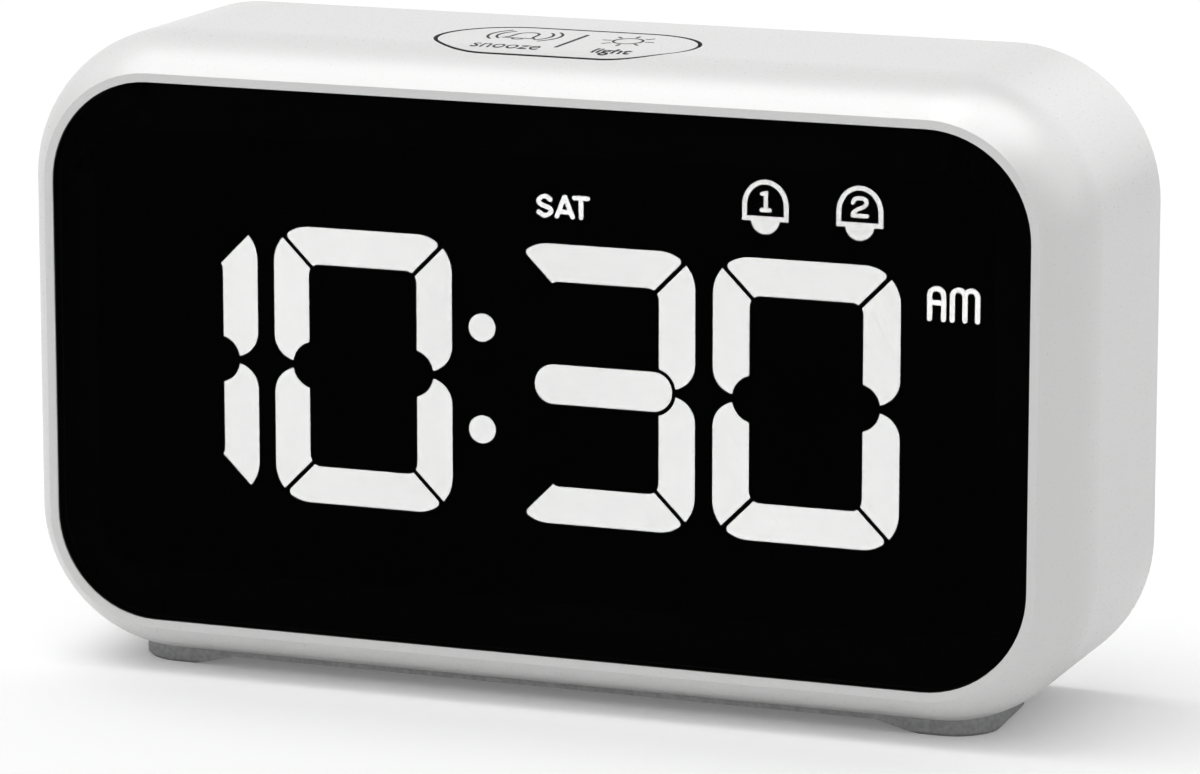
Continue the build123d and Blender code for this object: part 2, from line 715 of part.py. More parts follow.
def lcd_holder():
    """Tray round the display, with ears for its screws and standoffs for the board."""
    outer_w = POCKET_W + 2 * HOLDER_RIM
    outer_h = POCKET_H + 2 * HOLDER_RIM
    tray = slab(RectangleRounded(outer_w, outer_h, HOLDER_R), D_LEDGE, D_HOLDER)
    for x, z in corners(EAR_X, EAR_Z):
        root = z - math.copysign(EAR_R, z)
        tray += rod(x, z, EAR_R, D_SHEET, D_HOLDER)
        tray += brick(x, root, 2 * EAR_R, 2 * EAR_R, D_SHEET, D_HOLDER)
        tray -= rod(x, z, SMALL_SCREW["shank_r"] + SCREW_CLEAR, D_SHEET, D_HOLDER)
    tray -= brick(0, 0, POCKET_W, POCKET_H, D_LEDGE, D_SHEET)
    tray -= brick(0, ZEBRA_Z, ZEBRA_L + 2 * ZEBRA_FIT, ZEBRA_T + 2 * ZEBRA_FIT, D_SHEET, D_HOLDER)
    hole_end = D_BOARD_BACK - SHORT_SCREW["length"] - HOLE_SPARE
    for x, z in corners(BOARD_SCREW_X, BOARD_SCREW_Z):
        tray += rod(x, z, STANDOFF_R, D_HOLDER, D_BOARD)
        tray -= rod(x, z, SHORT_SCREW["shank_r"], hole_end, D_BOARD)
    return tray


# Main board
def main_board():
    """Circuit board behind the display holder."""
    board = slab(RectangleRounded(BOARD_W, BOARD_H, BOARD_CORNER_R), D_BOARD, D_BOARD_BACK)
    for x, z in corners(BOARD_SCREW_X, BOARD_SCREW_Z):
        board -= rod(x, z, SHORT_SCREW["shank_r"] + SCREW_CLEAR, D_BOARD, D_BOARD_BACK)
    return board


def main_chip():
    """Epoxy drop over the clock chip."""
    drop = rod(0, CHIP_Z, CHIP_R, D_BOARD_BACK, D_BOARD_BACK + CHIP_T)
    return chamfer(drop.faces().sort_by(Axis.Y)[-1].edges(), CHIP_BEVEL)


def crystal():
    """Watch crystal lying on the board."""
    return cross_rod(D_BOARD_BACK + CRYSTAL_R, CRYSTAL_Z, CRYSTAL_R, CRYSTAL_X, CRYSTAL_X + CRYSTAL_L)


def board_capacitors():
    """Upright electrolytic capacitors beside the battery tray."""
    nearest = TRAY_W / 2 + CAPACITOR_CLEAR + CAPACITOR_R
    far = D_BOARD_BACK + CAPACITOR_H
    solids = []
    for i in range(CAPACITOR_COUNT):
        x = -nearest - i * CAPACITOR_PITCH
        solids += rod(x, CAPACITOR_Z, CAPACITOR_R, D_BOARD_BACK, far).solids()
    return Compound(solids)


def board_screws():
    """Four short screws of the main board."""
    back = Vector(0, -1, 0)
    places = corners(BOARD_SCREW_X, BOARD_SCREW_Z)
    return Compound([screw(SHORT_SCREW, point(x, D_BOARD_BACK, z), back) for x, z in places])


def holder_screws():
    """Four screws through the ears of the display holder."""
    back = Vector(0, -1, 0)
    places = corners(EAR_X, EAR_Z)
    return Compound([screw(SMALL_SCREW, point(x, D_HOLDER, z), back) for x, z in places])


# Snooze button
def snooze_button():
    """Cap cut from the form of the case, hollow, with stop ears, two guide pins and a stem."""
    lowered = Pos(0, 0, -SNOOZE_SINK) * case_form(0)
    cap = lowered & prism(snooze_outline(), SNOOZE_SKIRT, HEIGHT / 2)
    cap = chamfer(snooze_rim(cap), SNOOZE_BEVEL)
    ears = plan(SNOOZE_X, SNOOZE_DEPTH) * Rectangle(SNOOZE_L + 2 * SNOOZE_EAR, SNOOZE_EAR_W)
    cap += prism(ears, SNOOZE_SKIRT, SNOOZE_EAR_TOP)
    cap -= prism(snooze_outline(-SNOOZE_WALL), SNOOZE_SKIRT, SNOOZE_CEILING)
    cap += post(SNOOZE_X, SNOOZE_DEPTH, STEM_R, SNOOZE_STEM_END, SNOOZE_CEILING)
    for x in PIN_X:
        cap += post(x, SNOOZE_DEPTH, COLLAR_R, SNOOZE_SKIRT, SNOOZE_CEILING)
        cap += post(x, SNOOZE_DEPTH, PIN_R, SNOOZE_BOARD_LOW - PIN_REACH, SNOOZE_CEILING)
    return cap


def snooze_board():
    """Small switch board under the snooze button."""
    outline = plan(SNOOZE_X, SNOOZE_DEPTH) * Rectangle(SNOOZE_BOARD_L, SNOOZE_BOARD_W)
    board = prism(outline, SNOOZE_BOARD_LOW, SNOOZE_BOARD_TOP)
    for x in PIN_X:
        board -= post(x, SNOOZE_DEPTH, PIN_R + PIN_FIT, SNOOZE_BOARD_LOW, SNOOZE_BOARD_TOP)
    hole_r = SMALL_SCREW["shank_r"] + SCREW_CLEAR
    for x in SNOOZE_BOSS_X:
        board -= post(x, SNOOZE_DEPTH, hole_r, SNOOZE_BOARD_LOW, SNOOZE_BOARD_TOP)
    return board


def snooze_springs():
    """Two return springs round the guide pins."""
    length = SNOOZE_SKIRT - SNOOZE_BOARD_TOP
    solids = []
    for x in PIN_X:
        start = point(x, SNOOZE_DEPTH, SNOOZE_BOARD_TOP)
        solids += coil(start, Vector(0, 0, 1), length, SPRING_R, SPRING_WIRE_R, SPRING_TURNS).solids()
    return Compound(solids)


def snooze_switch():
    """Push switch under the stem of the snooze button."""
    square = plan(SNOOZE_X, SNOOZE_DEPTH) * Rectangle(SWITCH_SIZE, SWITCH_SIZE)
    body = prism(square, SNOOZE_BOARD_TOP, SNOOZE_SWITCH_TOP)
    bore = SNOOZE_SWITCH_TOP - PLUNGER_SUNK - SNOOZE_TRAVEL - BORE_SPARE
    return body - post(SNOOZE_X, SNOOZE_DEPTH, PLUNGER_R + PLUNGER_FIT, bore, SNOOZE_SWITCH_TOP)


def snooze_plunger():
    """Plunger of the snooze switch."""
    low = SNOOZE_SWITCH_TOP - PLUNGER_SUNK
    return post(SNOOZE_X, SNOOZE_DEPTH, PLUNGER_R, low, SNOOZE_STEM_END)


def snooze_screws():
    """Two screws that hang the snooze board from the top of the case."""
    up = Vector(0, 0, 1)
    places = [point(x, SNOOZE_DEPTH, SNOOZE_BOARD_LOW) for x in SNOOZE_BOSS_X]
    return Compound([screw(SMALL_SCREW, place, up) for place in places])


# Rear cover
def rear_cover():
    """Inset back with the battery tray, door seat, key holes, sounder slots and posts."""
    outline = RectangleRounded(COVER_W, COVER_H, CORNER_R - WALL - COVER_FIT)
    cover = slab(outline, D_COVER, D_COVER_BACK)

    cover += brick(0, BAY_Z, TRAY_W, TRAY_H, D_BAY_FLOOR - BAY_WALL, D_COVER)
    block_w = DOOR_W + 2 * HINGE_BLOCK_SIDE
    cover += brick(0, HINGE_Z, block_w, HINGE_BLOCK_H, D_COVER - BAY_WALL, D_COVER)
    cover -= brick(0, BAY_Z, BAY_W, BAY_H, D_BAY_FLOOR, D_COVER_BACK)
    seat_w = DOOR_W + 2 * DOOR_GAP
    seat_h = DOOR_TOP - DOOR_LOW + 2 * DOOR_GAP
    cover -= brick(0, (DOOR_LOW + DOOR_TOP) / 2, seat_w, seat_h, D_DOOR - STOP_GAP, D_COVER_BACK)
    cover -= cross_rod(D_HINGE, HINGE_Z, HINGE_R + DOOR_GAP, -seat_w / 2, seat_w / 2)
    pin_reach = DOOR_W / 2 + HINGE_PIN_L + DOOR_GAP
    cover -= cross_rod(D_HINGE, HINGE_Z, HINGE_PIN_R + HINGE_FIT, -pin_reach, pin_reach)
    cover -= rod(0, DOOR_TOP, SCOOP_R, D_COVER_BACK - SCOOP_DEPTH, D_COVER_BACK)
    for upper, lower in zip(CELLS_Z, CELLS_Z[1:]):
        cover += cell_ridge((upper + lower) / 2)
    for x, z in terminal_places():
        slot_t = CONTACT_T + 2 * TAIL_FIT
        cover -= brick(x, z, slot_t, TAIL_W + 2 * TAIL_FIT, D_BAY_FLOOR - BAY_WALL, D_BAY_FLOOR)

    head = D_COVER_BACK - CASE_SCREW["head_t"]
    for x, z in corners(BOSS_X, BOSS_Z):
        cover -= rod(x, z, CASE_SCREW["shank_r"] + SCREW_CLEAR, D_COVER, D_COVER_BACK)
        cover -= rod(x, z, CASE_SCREW["head_r"] + HEAD_FIT, head, D_COVER_BACK)

    for x in CONTROLS_X[:-1]:
        cover -= rod(x, KEY_Z, KEY_R + KEY_GAP, D_COVER, D_COVER_BACK)
    cover -= brick(SLIDE_X, KEY_Z, SLIDE_SLOT_L, SLIDE_NECK_W + 2 * SLIDE_FIT, D_COVER, D_COVER_BACK)
    hole_end = D_KEY_BOARD_FRONT + SMALL_SCREW["length"] + HOLE_SPARE
    for x in KEY_POST_X:
        cover += rod(x, KEY_POST_Z, KEY_POST_R, D_KEY_BOARD, D_COVER)
        cover -= rod(x, KEY_POST_Z, SMALL_SCREW["shank_r"], D_KEY_BOARD, hole_end)

    rib = Pos(BUZZER_X, BUZZER_Z) * (Circle(RIB_OUT_R) - Circle(RIB_IN_R))
    cover += slab(rib, D_COVER - RIB_H, D_COVER)
    for i in range(SLOT_COUNT):
        step = (i - (SLOT_COUNT - 1) / 2) * SLOT_PITCH
        length = 2 * math.sqrt((RIB_IN_R - SLOT_MARGIN) ** 2 - step ** 2)
        slot = Pos(BUZZER_X, BUZZER_Z + step) * SlotOverall(length, SLOT_W)
        cover -= slab(slot, D_COVER, D_COVER_BACK)
    return cover


def cell_ridge(z):
    """Low ridge on the floor of the tray that keeps two cells apart."""
    profile = [(-RIDGE_HALF, 0), (RIDGE_HALF, 0), (0, RIDGE_H)]
    start = point(RIDGE_END - BAY_W / 2, D_BAY_FLOOR, z)
    plane = Plane(origin=start, x_dir=(0, 0, -1), z_dir=(1, 0, 0))
    face = make_face(Polyline(*profile, close=True))
    return extrude(plane * face, amount=BAY_W - 2 * RIDGE_END)


def cover_screws():
    """Four screws of the rear cover."""
    front = Vector(0, -1, 0)
    depth = D_COVER_BACK - CASE_SCREW["head_t"]
    places = corners(BOSS_X, BOSS_Z)
    return Compound([screw(CASE_SCREW, point(x, depth, z), front) for x, z in places])


# Rear controls
def key_cap(x):
    """Round push button with a dished end and a flange behind the cover."""
    cap = rod(x, KEY_Z, KEY_R, D_KEY_FLANGE, D_PROUD)
    cap = chamfer(cap.faces().sort_by(Axis.Y)[-1].edges(), KEY_BEVEL)
    dish = Circle(KEY_DISH_R)
    slope = math.degrees(math.atan2(KEY_DISH_R - KEY_DISH_FLOOR_R, KEY_DISH))
    cap -= extrude(front_plane(D_PROUD) * Pos(x, KEY_Z) * dish, amount=KEY_DISH, taper=slope)
    return cap + rod(x, KEY_Z, KEY_FLANGE_R, D_KEY_FLANGE, D_KEY_FLANGE + KEY_FLANGE_T)


def key_plunger(x):
    """Plunger of one push switch."""
    return rod(x, KEY_Z, PLUNGER_R, D_KEY_SWITCH - PLUNGER_SUNK, D_KEY_FLANGE)


def key_switches():
    """Push switches under the four rear buttons."""
    solids = []
    for x in CONTROLS_X[:-1]:
        body = brick(x, KEY_Z, SWITCH_SIZE, SWITCH_SIZE, D_KEY_BOARD, D_KEY_SWITCH)
        bore = D_KEY_SWITCH - PLUNGER_SUNK - KEY_TRAVEL - BORE_SPARE
        body -= rod(x, KEY_Z, PLUNGER_R + PLUNGER_FIT, bore, D_KEY_SWITCH)
        solids += body.solids()
    return Compound(solids)


def key_board():
    """Circuit board that carries the rear switches."""
    board = brick(0, KEY_Z, KEY_BOARD_W, KEY_BOARD_H, D_KEY_BOARD_FRONT, D_KEY_BOARD)
    hole_r = SMALL_SCREW["shank_r"] + SCREW_CLEAR
    for x in KEY_POST_X:
        board -= rod(x, KEY_POST_Z, hole_r, D_KEY_BOARD_FRONT, D_KEY_BOARD)
    return board


def key_board_screws():
    """Two screws of the key board."""
    back = Vector(0, 1, 0)
    places = [point(x, D_KEY_BOARD_FRONT, KEY_POST_Z) for x in KEY_POST_X]
    return Compound([screw(SMALL_SCREW, place, back) for place in places])


def slide_knob():
    """Sliding grip: grooved outer pad, neck through the slot and a flange behind the cover."""
    flange_far = D_COVER - STOP_GAP
    flange_near = flange_far - SLIDE_FLANGE_T
    knob = brick(SLIDE_X, KEY_Z, SLIDE_GRIP_L, SLIDE_GRIP_W, D_COVER_BACK + STOP_GAP, D_PROUD)
    knob = chamfer(knob.faces().sort_by(Axis.Y)[-1].edges(), SLIDE_BEVEL)
    for i in range(SLIDE_GROOVES):
        x = SLIDE_X + SLIDE_GROOVE_PITCH * (i - (SLIDE_GROOVES - 1) / 2)
        knob -= brick(x, KEY_Z, SLIDE_GROOVE_W, SLIDE_GRIP_W, D_PROUD - SLIDE_GROOVE_D, D_PROUD)
    knob += brick(SLIDE_X, KEY_Z, SLIDE_NECK_L, SLIDE_NECK_W, flange_far, D_COVER_BACK + STOP_GAP)
    knob += brick(SLIDE_X, KEY_Z, SLIDE_FLANGE_L, SLIDE_FLANGE_W, flange_near, flange_far)
    return knob - brick(SLIDE_X, KEY_Z, LEVER, LEVER, flange_near, flange_far + LEVER_GRIP)


def slide_switch():
    """Slide switch on the key board."""
    far = D_KEY_BOARD + SLIDE_BODY_H
    body = brick(SLIDE_X, KEY_Z, SLIDE_BODY_L, SLIDE_BODY_W, D_KEY_BOARD, far)
    slot_l = LEVER + 2 * (SLIDE_TRAVEL + SLIDE_FIT)
    return body - brick(SLIDE_X, KEY_Z, slot_l, LEVER + 2 * SLIDE_FIT, far - SLIDE_BODY_SLOT, far)


def slide_lever():
    """Lever of the slide switch, held in the grip."""
    near = D_KEY_BOARD + SLIDE_BODY_H - LEVER_SUNK
    return brick(SLIDE_X, KEY_Z, LEVER, LEVER, near, D_COVER - STOP_GAP + LEVER_GRIP)


# Battery bay
def terminal_places():
    """Where the tails of the two end contacts leave the tray."""
    x = BAY_W / 2 - CONTACT_T / 2
    return [(x, CELLS_Z[0]), (-x, CELLS_Z[-1])]


def positive_side(index):
    """Side to which the raised end of a cell points; neighbours alternate."""
    return 1 if index % 2 == 0 else -1


def battery_cells():
    """Three cells laid head to tail."""
    solids = []
    for index, z in enumerate(CELLS_Z):
        side = positive_side(index)
        tip = side * CONTACT_X
        shoulder = tip - side * NUB_L
        tail = tip - side * CELL_L
        can = cross_rod(D_CELL_AXIS, z, CELL_R, min(shoulder, tail), max(shoulder, tail))
        nub = cross_rod(D_CELL_AXIS, z, NUB_R, min(shoulder, tip), max(shoulder, tip))
        solids += (can + nub).solids()
    return Compound(solids)


def contact_plates():
    """Two end contacts with solder tails and two link plates that join neighbouring cells."""
    near = D_BAY_FLOOR
    far = D_BAY_FLOOR + 2 * CELL_R - CONTACT_TOP
    x = BAY_W / 2 - CONTACT_T / 2
    solids = []
    for place_x, z in terminal_places():
        plate = brick(place_x, z, CONTACT_T, CONTACT_W, near, far)
        plate += brick(place_x, z, CONTACT_T, TAIL_W, D_TAIL, near)
        solids += plate.solids()
    for side, pair in ((-1, CELLS_Z[:2]), (1, CELLS_Z[1:])):
        height = CELL_PITCH + CONTACT_W
        solids += brick(side * x, sum(pair) / 2, CONTACT_T, height, near, far).solids()
    return Compound(solids)


def contact_springs():
    """Coil springs that press on the flat ends of the cells."""
    solids = []
    for index, z in enumerate(CELLS_Z):
        side = -positive_side(index)
        start = point(side * CONTACT_X, D_CELL_AXIS, z)
        inward = Vector(-side, 0, 0)
        sizes = (CELL_SPRING_L, CELL_SPRING_R, CELL_SPRING_WIRE_R, CELL_SPRING_TURNS)
        solids += coil(start, inward, *sizes).solids()
    return Compound(solids)


def battery_door():
    """Door with a round lower edge, two hinge pins and a spring tongue at the top."""
    door = brick(0, (HINGE_Z + DOOR_TOP) / 2, DOOR_W, DOOR_TOP - HINGE_Z, D_DOOR, D_COVER_BACK)
    door += cross_rod(D_HINGE, HINGE_Z, HINGE_R, -DOOR_W / 2, DOOR_W / 2)
    reach = DOOR_W / 2 + HINGE_PIN_L
    door += cross_rod(D_HINGE, HINGE_Z, HINGE_PIN_R, -reach, reach)
    for side in (-1, 1):
        rib_h = BAY_H - 2 * DOOR_RIB_END
        door += brick(side * DOOR_RIB_X, BAY_Z, DOOR_RIB_T, rib_h, D_DOOR - DOOR_RIB_H, D_DOOR)
        x = side * (TONGUE_W + SLIT) / 2
        door -= brick(x, DOOR_TOP - TONGUE_L / 2, SLIT, TONGUE_L, D_DOOR, D_COVER_BACK)
    grip_half = TONGUE_W / 2 - GRIP_END
    for i in range(GRIP_COUNT):
        z = DOOR_TOP - GRIP_DROP - GRIP_PITCH * i
        door += cross_rod(D_COVER_BACK, z, GRIP_R, -grip_half, grip_half)
    return door


# Sounder and wiring
def buzzer_plate():
    """Brass disc of the sounder, glued to its rib."""
    return rod(BUZZER_X, BUZZER_Z, BUZZER_R, D_BUZZER, D_BUZZER + BUZZER_T)


def buzzer_ceramic():
    """Ceramic face of the sounder."""
    return rod(BUZZER_X, BUZZER_Z, CERAMIC_R, D_BUZZER - CERAMIC_T, D_BUZZER)


def battery_wires():
    """Two wires from the end contacts to the main board."""
    solids = []
    for x, z in terminal_places():
        end = point(x + BATTERY_WIRE_STEP, D_BOARD_BACK, z)
        solids += wire(joggle(point(x, D_TAIL, z), end)).solids()
    return Compound(solids)


def buzzer_wires():
    """Two wires from the ceramic and the rim of the brass disc to the main board."""
    ceramic_z = BUZZER_Z + CERAMIC_R - BUZZER_WIRE_SPACE
    brass_z = BUZZER_Z + BUZZER_R - BUZZER_WIRE_SPACE
    solids = []
    for z, depth in ((ceramic_z, D_BUZZER - CERAMIC_T), (brass_z, D_BUZZER)):
        end = point(BUZZER_X + BUZZER_WIRE_STEP, D_BOARD_BACK, z)
        solids += wire(joggle(point(BUZZER_X, depth, z), end)).solids()
    return Compound(solids)


def snooze_wires():
    """Two wires from the snooze board down to the main board."""
    low = SNOOZE_BOARD_LOW - SNOOZE_WIRE_DROP
    solids = []
    for x in (SNOOZE_WIRE_X, SNOOZE_WIRE_X + SNOOZE_WIRE_SPACE):
        start = point(x, SNOOZE_DEPTH, SNOOZE_BOARD_LOW)
        path = bent_path(start, point(x, SNOOZE_DEPTH, low), point(x, D_BOARD_BACK, low))
        solids += wire(path).solids()
    return Compound(solids)


def ribbon_cable():
    """Flat cable from the key board to the main board."""
    upper = point(RIBBON_X, D_KEY_BOARD_FRONT, KEY_Z - RIBBON_START)
    path = joggle(upper, point(RIBBON_X, D_BOARD_BACK, KEY_Z - RIBBON_START - RIBBON_DROP))
    start = Plane(origin=path @ 0, x_dir=(1, 0, 0), z_dir=path % 0)
    return sweep(start * Rectangle(RIBBON_W, RIBBON_T), path=path)


PIECES = {
    "main_housing": main_housing(),
    "base_pad": base_pad(),
    "front_window": front_window(),
    "window_tape": window_tape(),
    "lcd_front_glass": lcd_front_glass(),
    "lcd_rear_glass": lcd_rear_glass(),
    "lcd_seal": lcd_seal(),
    "lcd_segments": lcd_segments(),
    "light_guide": light_guide(),
    "reflector_sheet": reflector_sheet(),
    "led_strips": led_strips(),
    "backlight_leds": backlight_leds(),
    "zebra_strip": zebra_strip(),
    "lcd_holder": lcd_holder(),
    "main_board": main_board(),
    "main_chip": main_chip(),
    "crystal": crystal(),
    "board_capacitors": board_capacitors(),
    "board_screws": board_screws(),
    "holder_screws": holder_screws(),
    "snooze_button": snooze_button(),
    "snooze_board": snooze_board(),
    "snooze_springs": snooze_springs(),
    "snooze_switch": snooze_switch(),
    "snooze_plunger": snooze_plunger(),
    "snooze_screws": snooze_screws(),
    "rear_cover": rear_cover(),
    "cover_screws": cover_screws(),
    "key_switches": key_switches(),
    "key_board": key_board(),
    "key_board_screws": key_board_screws(),
    "slide_knob": slide_knob(),
    "slide_switch": slide_switch(),
    "slide_lever": slide_lever(),
    "battery_cells": battery_cells(),
    "contact_plates": contact_plates(),
    "contact_springs": contact_springs(),
    "battery_door": battery_door(),
    "buzzer_plate": buzzer_plate(),
    "buzzer_ceramic": buzzer_ceramic(),
    "battery_wires": battery_wires(),
    "buzzer_wires": buzzer_wires(),
    "snooze_wires": snooze_wires(),
    "ribbon_cable": ribbon_cable(),
}
for key, key_x in zip(KEYS, CONTROLS_X):
    PIECES[f"{key}_button"] = key_cap(key_x)
    PIECES[f"{key}_plunger"] = key_plunger(key_x)

os.makedirs("parts", exist_ok=True)
for name, piece in PIECES.items():
    export_step(piece, f"parts/{name}.step")
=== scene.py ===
import json
import math

import bmesh
import bpy
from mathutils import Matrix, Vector
from mathutils.bvhtree import BVHTree
from mathutils.geometry import delaunay_2d_cdt


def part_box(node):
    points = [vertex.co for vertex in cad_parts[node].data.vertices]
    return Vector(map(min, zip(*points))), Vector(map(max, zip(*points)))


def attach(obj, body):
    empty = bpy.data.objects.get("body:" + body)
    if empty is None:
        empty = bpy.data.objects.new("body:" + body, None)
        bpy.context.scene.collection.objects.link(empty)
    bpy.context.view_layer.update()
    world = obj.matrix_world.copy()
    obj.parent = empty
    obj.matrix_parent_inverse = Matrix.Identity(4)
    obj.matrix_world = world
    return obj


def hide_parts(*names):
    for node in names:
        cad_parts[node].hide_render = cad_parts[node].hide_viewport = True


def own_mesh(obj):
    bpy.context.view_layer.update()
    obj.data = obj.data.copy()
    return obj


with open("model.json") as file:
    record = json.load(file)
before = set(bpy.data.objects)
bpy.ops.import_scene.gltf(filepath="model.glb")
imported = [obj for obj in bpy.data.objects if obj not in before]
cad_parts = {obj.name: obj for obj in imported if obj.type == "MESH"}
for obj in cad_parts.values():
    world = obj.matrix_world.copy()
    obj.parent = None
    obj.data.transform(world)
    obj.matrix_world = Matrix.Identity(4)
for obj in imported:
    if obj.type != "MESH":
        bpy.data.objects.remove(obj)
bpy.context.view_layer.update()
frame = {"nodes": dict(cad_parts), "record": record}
NODES = frame["nodes"]
RECORD = frame["record"]
MM = 0.001

# Places taken from the frame, in metres
WINDOW_LOW, WINDOW_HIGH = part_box("front_window")
MID_Z = (WINDOW_LOW.z + WINDOW_HIGH.z) / 2
FRONT_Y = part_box("main_housing")[0].y
CELL_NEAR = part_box("lcd_segments")[0].y
CELL_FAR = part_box("lcd_segments")[1].y
CAP_LOW, CAP_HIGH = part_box("snooze_button")
COVER_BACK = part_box("rear_cover")[1].y

# Camera, in metres and millimetres of lens
CAMERA_PLACE = (0.29015, -0.73742, 0.20225)
CAMERA_FORWARD = (-0.3557, 0.9129, -0.2002)
CAMERA_LENS = 180.2
CAMERA_SENSOR = 36.0
CAMERA_CLIP = (0.01, 50.0)

# Light levels; a lamp has a level, a spread in degrees and a direction
WORLD_LEVEL = 0.47
WORLD_IN_GLOSS = 0.9
LAMPS = {
    "key": (0.93, 46.0, (-0.356, -0.03, 0.936)),
    "overhead": (0.65, 60.0, (0.0, -0.2, 0.98)),
}

# Soft boxes that only gloss shows; each has a direction, the cosine at its edge and a level
SOFTBOXES = (
    ((0.25, 0.91, 0.32), 0.90, 0.9),
    ((0.70, 0.38, 0.60), 0.75, 2.0),
    ((0.25, 0.05, 0.97), 0.78, 4.0),
    ((-0.36, -0.08, 0.93), 0.88, 0.9),
    ((-0.66, 0.20, 0.72), 0.84, 0.9),
)

# Floor in metres, and the share and level of its glow
FLOOR_SIZE = 12.0
FLOOR_LIFT = 0.08
FLOOR_GLOW = 2.0

# Lit strokes of the display: levels, and patches and grain in features per metre
LIT_STRENGTH = 5.9
LETTER_STRENGTH = 6.9
LIT_PATCH = 25
LIT_GRAIN = 900
LIT_ROUGH = (0.4, 0.6)

# Colours
PLASTIC_WHITE = (0.72, 0.72, 0.716)
COVER_WHITE = (0.69, 0.69, 0.686)
FLOOR_WHITE = (0.98, 0.98, 0.98)
LIT_DIM = (0.93, 0.93, 0.925)
LIT_BRIGHT = (0.97, 0.97, 0.965)
STEEL = (0.5, 0.5, 0.51)
INK_BLACK = (0.02, 0.02, 0.021)
INK_GREY = (0.20, 0.20, 0.205)
GAP_SHADE = (0.015, 0.015, 0.015)
SEAT_SHADE = (0.004, 0.004, 0.004)

# Thin layers and reaches, in metres
INK_ABOVE = 0.02 * MM
INK_BELOW = 0.03 * MM
CELL_INSET = 0.02 * MM
WELD = 0.001 * MM
GAP_REACH = 0.6 * MM
SEAT_REACH = 0.4 * MM
SLEEVE_BARE = 1.4 * MM

# Largest upward part of the direction that an upright wall faces
UPRIGHT = 0.8


# Material nodes
def new_material(name):
    """Material with a Principled shader, its node tree and the shader."""
    material = bpy.data.materials.new(name)
    material.use_nodes = True
    tree = material.node_tree
    shader = tree.nodes["Principled BSDF"]
    return material, tree, shader


def noise(tree, scale, detail=4.0, stretch=(1, 1, 1)):
    """Noise in the object's own metres; the scale is in features per metre."""
    place = tree.nodes.new("ShaderNodeTexCoord")
    mapping = tree.nodes.new("ShaderNodeMapping")
    mapping.inputs["Scale"].default_value = stretch
    texture = tree.nodes.new("ShaderNodeTexNoise")
    texture.inputs["Scale"].default_value = scale
    texture.inputs["Detail"].default_value = detail
    tree.links.new(place.outputs["Object"], mapping.inputs["Vector"])
    tree.links.new(mapping.outputs["Vector"], texture.inputs["Vector"])
    return texture.outputs["Fac"]


def ramp(tree, factor, low, high, start=0.35, end=0.65):
    """Colour between two colours over a stretch of a factor."""
    node = tree.nodes.new("ShaderNodeValToRGB")
    node.color_ramp.elements[0].position = start
    node.color_ramp.elements[0].color = (*low, 1)
    node.color_ramp.elements[1].position = end
    node.color_ramp.elements[1].color = (*high, 1)
    tree.links.new(factor, node.inputs["Fac"])
    return node.outputs["Color"]


def remap(tree, factor, low, high, start=0.3, end=0.7):
    """Number between two numbers over a stretch of a factor."""
    node = tree.nodes.new("ShaderNodeMapRange")
    node.inputs["From Min"].default_value = start
    node.inputs["From Max"].default_value = end
    node.inputs["To Min"].default_value = low
    node.inputs["To Max"].default_value = high
    tree.links.new(factor, node.inputs["Value"])
    return node.outputs["Result"]


def calc(tree, operation, *values):
    """Number worked out from sockets and plain numbers."""
    node = tree.nodes.new("ShaderNodeMath")
    node.operation = operation
    for socket, value in zip(node.inputs, values):
        if isinstance(value, (int, float)):
            socket.default_value = value
        else:
            tree.links.new(value, socket)
    return node.outputs[0]


def bump(tree, shader, height, strength, depth):
    """Fine relief on a shader, its depth in metres."""
    node = tree.nodes.new("ShaderNodeBump")
    node.inputs["Strength"].default_value = strength
    node.inputs["Distance"].default_value = depth
    tree.links.new(height, node.inputs["Height"])
    tree.links.new(node.outputs["Normal"], shader.inputs["Normal"])


def dot(tree, first, second):
    """Dot product of a socket and a socket or a plain vector."""
    node = tree.nodes.new("ShaderNodeVectorMath")
    node.operation = "DOT_PRODUCT"
    tree.links.new(first, node.inputs[0])
    if isinstance(second, Vector):
        node.inputs[1].default_value = second
    else:
        tree.links.new(second, node.inputs[1])
    return node.outputs["Value"]


def reach(tree, vector, axes):
    """Largest size of a vector along some axes."""
    parts = tree.nodes.new("ShaderNodeSeparateXYZ")
    tree.links.new(vector, parts.inputs["Vector"])
    sizes = [calc(tree, "ABSOLUTE", parts.outputs[axis]) for axis in axes]
    largest = sizes[0]
    for size in sizes[1:]:
        largest = calc(tree, "MAXIMUM", largest, size)
    return largest


def facing(tree):
    """Direction that the surface faces."""
    return tree.nodes.new("ShaderNodeTexCoord").outputs["Normal"]


def box_place(tree, low, high, spare):
    """Place in a box as a vector from -1 to 1 on each axis, with some spare room round the box."""
    place = tree.nodes.new("ShaderNodeTexCoord")
    local = tree.nodes.new("ShaderNodeMapping")
    local.vector_type = "TEXTURE"
    local.inputs["Location"].default_value = (low + high) / 2
    local.inputs["Scale"].default_value = (high - low) / 2 + Vector(spare)
    tree.links.new(place.outputs["Object"], local.inputs["Vector"])
    return local.outputs["Vector"]


def tint_where(material, factor, colour):
    """Give the base colour another value where a factor is one."""
    tree = material.node_tree
    base = tree.nodes["Principled BSDF"].inputs["Base Color"]
    mix = tree.nodes.new("ShaderNodeMixRGB")
    mix.inputs["Color2"].default_value = (*colour, 1)
    tree.links.new(base.links[0].from_socket, mix.inputs["Color1"])
    tree.links.new(factor, mix.inputs["Fac"])
    tree.links.new(mix.outputs["Color"], base)


